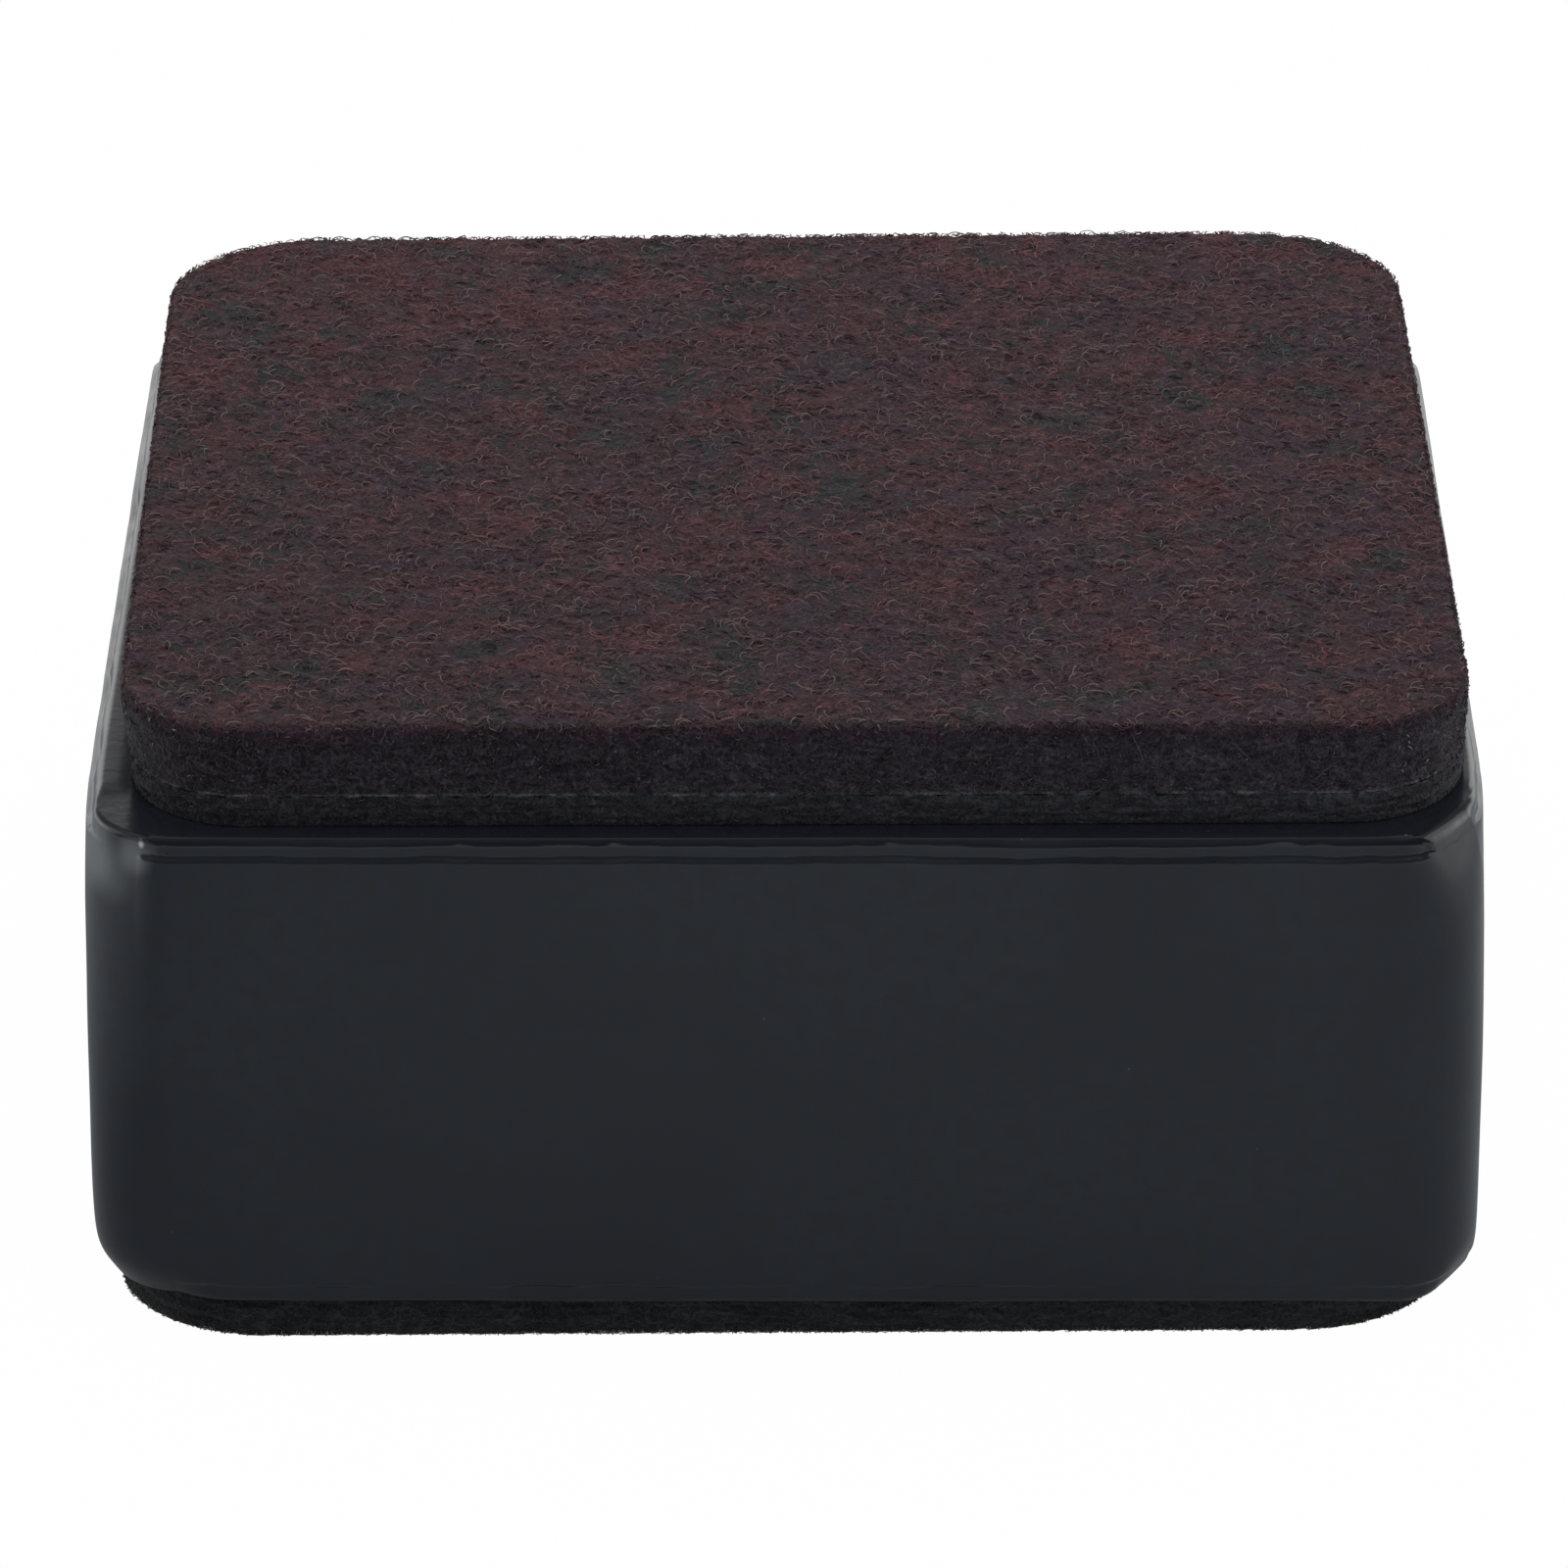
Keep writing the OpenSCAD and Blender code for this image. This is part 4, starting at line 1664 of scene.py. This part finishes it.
@dataclass
class FeltPads:
    """The two stuck pads: a thick one of two layers on top and a thin one underneath.

    Attributes:
        shared: the shared shader groups.
        top_turn, bottom_turn: how far each pad is turned from square, in degrees.
        top_corners, bottom_corners: radius of their front corners and of their back corners, in millimetres.
        fibre_margin: how far the face's fibres keep in from the pad's edge, in millimetres.
        fibre_ends: how far above a layer's foot and above its top its wall's fibres end, in millimetres.
    """

    shared: SharedGroups
    top_turn: float = 0.5
    bottom_turn: float = 0.7
    top_corners: tuple[float, float] = (5.6, 7.2)
    bottom_corners: tuple[float, float] = (6.6, 6.2)
    fibre_margin: float = 0.16
    fibre_ends: tuple[float, float] = (0.01, 0.02)

    def layers(self) -> tuple[FeltLayer, FeltLayer, FeltLayer]:
        """Sets out the burgundy face layer, the dark base layer and the black pad underneath."""
        low, high = (float(corner[2]) for corner in node_box("top_felt_face"))
        burgundy = FeltFinish(
            "burgundy_felt",
            core=linear(24, 21, 28),
            fleck=linear(42, 38, 47),
            skin=(0.8, high),
            seam=(low, 0.14),
        )
        dark = FeltFinish(
            "dark_felt",
            core=linear(29, 29, 35),
            fleck=linear(44, 45, 52),
            skin=(0.1, 2 * high),
            seam=(low, 0.12),
            flecks=0.05,
            contrast=(0.62, 1.3, 0.6, 1.3),
        )
        black = FeltFinish(
            "black_felt",
            core=linear(33, 35, 38),
            fleck=linear(39, 42, 45),
            skin=(0.1, 2 * high),
            seam=(-1.0, 0.1),
            flecks=0.0,
            contrast=(0.62, 1.3, 0.75, 1.2),
        )
        stuck = {"corners": self.top_corners, "turn": self.top_turn}
        stuck.update(skew=0.011, growth=0.3, retreat=0.45)
        face = FeltLayer(
            "top_felt_face",
            **stuck,
            finish=burgundy.material(self.shared),
            slot="burgundy_felt",
            mottle=BURGUNDY,
            taper=(-0.5, 0.12, 0.0, 0.35),
            shoulder=0.35,
            foot=0.01,
            droop=0.03,
            bumps=0.03,
        )
        base = FeltLayer(
            "top_felt_base",
            **stuck,
            finish=dark.material(self.shared),
            slot="dark_felt",
            mottle=SMOKE,
            tuck=(-0.5, 0.12, 0.0, 0.35),
            taper=(-0.07, 0.05, 0.0, 0.1),
            shoulder=0.01,
            foot=0.03,
            droop=0.08,
            flat_lid=True,
            seed=41,
        )
        pad = FeltLayer(
            "bottom_felt",
            corners=self.bottom_corners,
            turn=self.bottom_turn,
            finish=black.material(self.shared),
            slot="black_felt",
            mottle=SMOKE,
            shoulder=0.03,
            columns=180,
            bumps=0.02,
            faces_down=True,
            seed=51,
        )
        return face, base, pad

    def build(self) -> None:
        """Builds the layers, their films and their loose fibres."""
        face, base, pad = self.layers()
        for layer in (face, base, pad):
            layer.build()
        film = film_material()
        for node in ("top_adhesive_film", "bottom_adhesive_film"):
            dress(node, film)
        finish = fibre_material()
        self.face_fibres(face, finish)
        self.wall_fibres(face, base, pad, finish)

    def face_fibres(self, face: FeltLayer, finish: bpy.types.Material) -> None:
        """Mats curly fibres over the top face: a low mat in the felt's colours and paler curls over it.

        Args:
            face: the face layer.
            finish: the fibres' material.
        """
        mat = FibreCrop(
            "top_mat",
            count=3500,
            seed=61,
            length=(0.6, 1.4),
            thickness=(0.06, 0.09),
            curl=1.2,
            wave=0.8,
            lift=(-0.04, 0.04),
            coil=(0.08, 0.18),
            pace=(5.0, 9.0),
            rings=10,
        )
        curls = replace(
            mat,
            name="top_curls",
            count=11000,
            seed=67,
            length=(0.6, 1.3),
            thickness=(0.045, 0.068),
            lift=(0.0, 0.06),
            coil=(0.17, 0.32),
            pace=(5.0, 8.5),
            rings=12,
        )
        pale = linear(122, 101, 100)
        tints = (
            FibreTints(gain=0.72, spread=0.12, pale=pale, share=0.0, mingled=0.4),
            FibreTints(gain=1.55, spread=0.32, pale=pale, share=0.26, whitened=0.14, mingled=0.6),
        )
        for crop, tint in zip((mat, curls), tints):
            rng = np.random.default_rng(crop.seed)
            roots, axes = face.face_spots(rng, crop.count)
            points = face.skewed(face.draped(crop.sweep(rng, roots, axes), self.fibre_margin))
            crop.pieces(points, tint.pick(rng, roots, face.mottle), finish, face.slot)

    def wall_fibres(
        self, face: FeltLayer, base: FeltLayer, pad: FeltLayer, finish: bpy.types.Material
    ) -> None:
        """Sets short fibre ends, loose strays and the strands of the glue line on the walls.

        Args:
            face, base, pad: the three felt layers.
            finish: the fibres' material.
        """
        nub = FibreCrop(
            "side_nubs",
            count=8500,
            seed=62,
            length=(0.08, 0.3),
            thickness=(0.04, 0.07),
            curl=2.5,
            wave=0.8,
            lift=(0.0, 0.06),
            coil=(0.02, 0.08),
            pace=(6.0, 14.0),
            rings=5,
        )
        lint = replace(nub, name="corner_lint", count=1600, seed=71, sides=0.4)
        edge = replace(
            nub, name="edge_curls", count=1600, seed=70, length=(0.3, 0.8), lift=(0.0, 0.07), rings=8
        )
        fuzz = replace(
            nub, name="pad_fuzz", count=3200, seed=68, length=(0.12, 0.35), lift=(0.0, 0.09), rings=3
        )
        stray = FibreCrop(
            "side_strays",
            count=60,
            seed=65,
            length=(1.0, 2.4),
            thickness=(0.035, 0.05),
            curl=1.0,
            wave=0.8,
            lift=(0.02, 0.06),
            heading=0.7,
        )
        strand = replace(
            stray,
            name="seam_strands",
            count=900,
            seed=66,
            length=(0.2, 0.8),
            thickness=(0.04, 0.07),
            curl=2.0,
            wave=0.8,
            lift=(0.0, 0.05),
            heading=0.55,
        )
        cool = FibreTints(gain=0.75, spread=0.35, pale=linear(75, 72, 77), share=0.13)
        smoky = FibreTints(gain=0.8, spread=0.18, pale=linear(62, 63, 66), share=0.08)
        threads = FibreTints(gain=1.0, spread=0.3, pale=linear(66, 64, 68), share=0.3, whitened=0.1)
        rosy = FibreTints(
            gain=0.85, spread=0.25, pale=linear(112, 96, 97), share=0.1, whitened=0.05, mingled=0.8
        )
        linty = FibreTints(gain=0.9, spread=0.3, pale=linear(132, 122, 120), share=0.5)
        faint = FibreTints(gain=0.95, spread=0.08, pale=linear(52, 54, 56), share=0.04)
        # painted light: the fringe along the lower pad's foot is painted pale, as the floor's glare on it
        glare_fringe = FibreTints(gain=1.4, spread=0.3, pale=linear(140, 140, 140), share=0.45, whitened=0.25)
        crops = (
            (face, CHARCOAL, cool, nub, (0.03, 2.9)),
            (base, SMOKE, smoky, replace(nub, name="base_nubs", count=4200, seed=63), (0.0, 1.3)),
            (base, SMOKE, smoky, replace(fuzz, name="base_fuzz", count=1600, seed=69), (-0.05, 0.1)),
            (pad, SOOT, faint, replace(nub, name="pad_nubs", count=3500, seed=64), (0.0, 1.85)),
            (pad, SMOKE, glare_fringe, fuzz, (0.0, 0.12)),
            (face, CHARCOAL, threads, stray, (0.2, 2.7)),
            (face, CHARCOAL, threads, strand, (-0.13, 0.13)),
            (face, CHARCOAL, linty, lint, (0.0, 2.9)),
            (face, BURGUNDY, rosy, edge, (2.84, 2.98)),
        )
        for layer, mottle, tint, crop, band in crops:
            rng = np.random.default_rng(crop.seed)
            roots, axes = layer.wall_spots(rng, crop.count, (layer.low + band[0], layer.low + band[1]))
            grown = np.abs(axes[:, 2, 0]) >= crop.sides
            roots, axes = roots[grown], axes[grown]
            points = layer.skewed(crop.sweep(rng, roots, axes))
            lowest = layer.low - layer.droop + self.fibre_ends[0]
            points[..., 2] = np.clip(points[..., 2], lowest, layer.high + self.fibre_ends[1])
            crop.pieces(points, tint.pick(rng, roots, mottle), finish, layer.slot)


@dataclass
class Studio:
    """Camera, lamps and floor. Lengths are in millimetres.

    Attributes:
        eye: where the camera stands.
        look_down: how far it looks below the horizon, in degrees.
        lens: its focal length on the default sensor.
        floor_size: width of the floor.
        floor_drop: how far the floor lies below the riser.
        pass_length: length of the stray rays that pass the floor, so that it doesn't blacken the underside.
        mirror_tint: colour of the floor in reflections.
        floor_tint, floor_white: the floor's own colour, and how far the camera sees it as plain white.
        painted_left_shade, far_left: painted shade: brightness of the floor in reflections across it, darker
            to the left, and what is added far left.
        painted_near_shade, far_white: painted shade: its brightness in reflections, darker near the riser,
            and its share of plain white there, by how far away it is.
        room_light: strength of the room's light.
        mirror_dim: how much darker the room is in reflections.
        screen_top, screen_edge: brightness of the screen in reflections, by how far up and back they look.
        glow_rise, glow_edge: brightness of the glow above it, in the same way.
        aim: what the lamps face.
    """

    eye: tuple[float, float, float] = (-0.04, -406.1, 197.3)
    look_down: float = 24.4
    lens: float = 224.8
    floor_size: float = 6000.0
    floor_drop: float = 0.02
    pass_length: float = 0.1
    mirror_tint: tuple = (0.52, 0.545, 0.57, 1)
    floor_tint: tuple = (0.86, 0.86, 0.86, 1)
    floor_white: float = 0.988
    # painted shade: the floor in reflections is darker to the left and near the riser
    painted_left_shade: Slope = Slope(-50.0, -5.0, 0.66, 1.0)
    far_left: Slope = Slope(-85.0, -42.0, 0.6, 0.0)
    painted_near_shade: Slope = Slope(29.0, 66.0, 0.95, 1.0)
    far_white: Slope = Slope(90.0, 260.0, 0.03, 0.85)
    room_light: float = 0.5
    mirror_dim: float = 0.4
    screen_top: Slope = Slope(0.25, 0.46, 1.5, 0.0)
    screen_edge: Slope = Slope(0.2, 0.55)
    glow_rise: Slope = Slope(0.5, 0.85, 0.0, 0.3)
    glow_edge: Slope = Slope(-0.1, 0.3, 0.25, 1.0)
    aim: tuple[float, float, float] = (0.0, 0.0, 15.0)

    def camera(self) -> None:
        """Sets up the camera at the photograph's viewing angle."""
        data = bpy.data.cameras.new("camera")
        data.lens = self.lens
        data.clip_start = 0.01
        data.clip_end = 50
        camera = add_object("camera", data)
        camera.location = tuple(v * MM for v in self.eye)
        camera.rotation_euler = (math.radians(90 - self.look_down), 0, 0)
        bpy.context.scene.camera = camera

    def lamp(
        self,
        name: str,
        place: tuple[float, float, float],
        aim: tuple[float, float, float],
        size: tuple[float, float],
        light: float,
        mirrored: bool = True,
    ) -> None:
        """Hangs one soft rectangular lamp.

        Args:
            name: its name.
            place, aim: where it hangs and what it faces.
            size: its width and height.
            light: its brightness, where 1 is that of a white surface in plain light.
            mirrored: whether the paint mirrors it.
        """
        data = bpy.data.lights.new(name, "AREA")
        data.shape = "RECTANGLE"
        data.size, data.size_y = size[0] * MM, size[1] * MM
        data.energy = light * math.pi * data.size * data.size_y
        lamp = add_object(name, data)
        lamp.visible_glossy = mirrored
        start, end = np.array(place) * MM, np.array(aim) * MM
        lamp.location = start
        direction = unit(end - start)
        lamp.rotation_euler = (
            math.acos(-direction[2]),
            0,
            math.atan2(direction[1], direction[0]) - math.pi / 2,
        )

    def white_rays(self, wires: Wiring, camera_share: float, mirror_share: object) -> bpy.types.NodeSocket:
        """Gives the share of plain white that each kind of ray sees.

        Args:
            wires: the tree.
            camera_share: the share for the camera and for what is seen through glass.
            mirror_share: the share for reflections, a number or a socket.

        Returns:
            The share.
        """
        path = wires.add("LightPath").outputs
        seen = wires.math("MAXIMUM", path["Is Camera Ray"], path["Is Transmission Ray"])
        direct = wires.times(seen, camera_share)
        return wires.math("MAXIMUM", direct, wires.times(path["Is Glossy Ray"], mirror_share))

    def floor(self) -> None:
        """Lays a pale floor that the camera sees as nearly white, and that is greyer in reflections."""
        half = self.floor_size / 2
        corners = np.array([(-half, -half, 0), (half, -half, 0), (half, half, 0), (-half, half, 0)], float)
        corners[:, 2] -= self.floor_drop
        mesh = build_mesh("floor", corners, [np.array([[0, 1, 2, 3]])])
        material, wires = start_material("pale_floor")
        path = wires.add("LightPath").outputs
        place = wires.millimetres()
        away = wires.add("VectorMath", {0: place}, operation="LENGTH").outputs["Value"]
        across = wires.parts(place)[0]
        # painted shade: in reflections the floor is darker to the left and close to the riser
        dimmed = wires.math("ADD", wires.ramp(across, *self.painted_left_shade), wires.ramp(across, *self.far_left))
        dimmed = wires.times(dimmed, wires.ramp(away, *self.painted_near_shade))
        mirror = wires.mix(1.0, self.mirror_tint, dimmed, "MULTIPLY")
        grey = wires.mix(path["Is Glossy Ray"], self.floor_tint, mirror)
        pale = wires.add("BsdfDiffuse", {"Color": grey})
        white = wires.add("Emission", {"Color": (1, 1, 1, 1), "Strength": 1.0})
        share = self.white_rays(wires, self.floor_white, wires.ramp(away, *self.far_white))
        lit = wires.add("MixShader", {0: share, 1: pale.outputs[0], 2: white.outputs[0]})
        clear = wires.add("BsdfTransparent")
        close = wires.math("LESS_THAN", path["Ray Length"], self.pass_length * MM)
        close = wires.times(close, path["Is Diffuse Ray"])
        below = wires.math("MAXIMUM", wires.add("NewGeometry").outputs["Backfacing"], close)
        close_material(wires, wires.add("MixShader", {0: below, 1: lit.outputs[0], 2: clear.outputs[0]}))
        mesh.materials.append(material)
        floor = add_object("floor", mesh)

    def world(self) -> None:
        """Fills the room with soft light. Reflections see a dim room, a bright screen behind the riser and a
        soft glow above the screen.
        """
        world = bpy.data.worlds.new("room")
        bpy.context.scene.world = world
        world.use_nodes = True
        wires = Wiring(world.node_tree)
        mirrored = wires.add("LightPath").outputs["Is Glossy Ray"]
        _, back, up = wires.parts(wires.add("TexCoord").outputs["Generated"])
        screen = wires.times(wires.ramp(up, *self.screen_top), wires.ramp(back, *self.screen_edge))
        glow = wires.times(wires.ramp(up, *self.glow_rise), wires.ramp(back, *self.glow_edge))
        seen = wires.math("SUBTRACT", wires.math("ADD", screen, glow), self.mirror_dim)
        seen = wires.times(mirrored, seen)
        strength = wires.math("ADD", seen, self.room_light)
        room = wires.add("Background", {"Color": (1, 1, 1, 1), "Strength": strength})
        white = wires.add("Background", {"Color": (1, 1, 1, 1), "Strength": 1.0})
        share = self.white_rays(wires, 1.0, 0.0)
        mixed = wires.add("MixShader", {0: share, 1: room.outputs[0], 2: white.outputs[0]})
        wires.add("OutputWorld", {"Surface": mixed.outputs[0]})

    def build(self) -> None:
        """Sets up the whole studio."""
        self.camera()
        self.floor()
        self.world()
        self.lamp("overhead", (0, -220, 650), self.aim, size=(900, 640), light=1.0, mirrored=False)
        self.lamp("left_box", (-500, 120, 230), self.aim, size=(280, 420), light=1.1)
        self.lamp("right_box", (520, 160, 240), self.aim, size=(420, 480), light=1.0)
        bpy.context.scene.view_settings.view_transform = "Standard"


def main() -> None:
    """Builds the riser and its studio."""
    logging.basicConfig(level=logging.INFO, format="%(name)s %(message)s")
    Studio().build()
    shared = SharedGroups()
    SteelBlock(PaintFinish().material(shared)).build()
    FeltPads(shared).build()


if __name__ == "__main__":
    main()
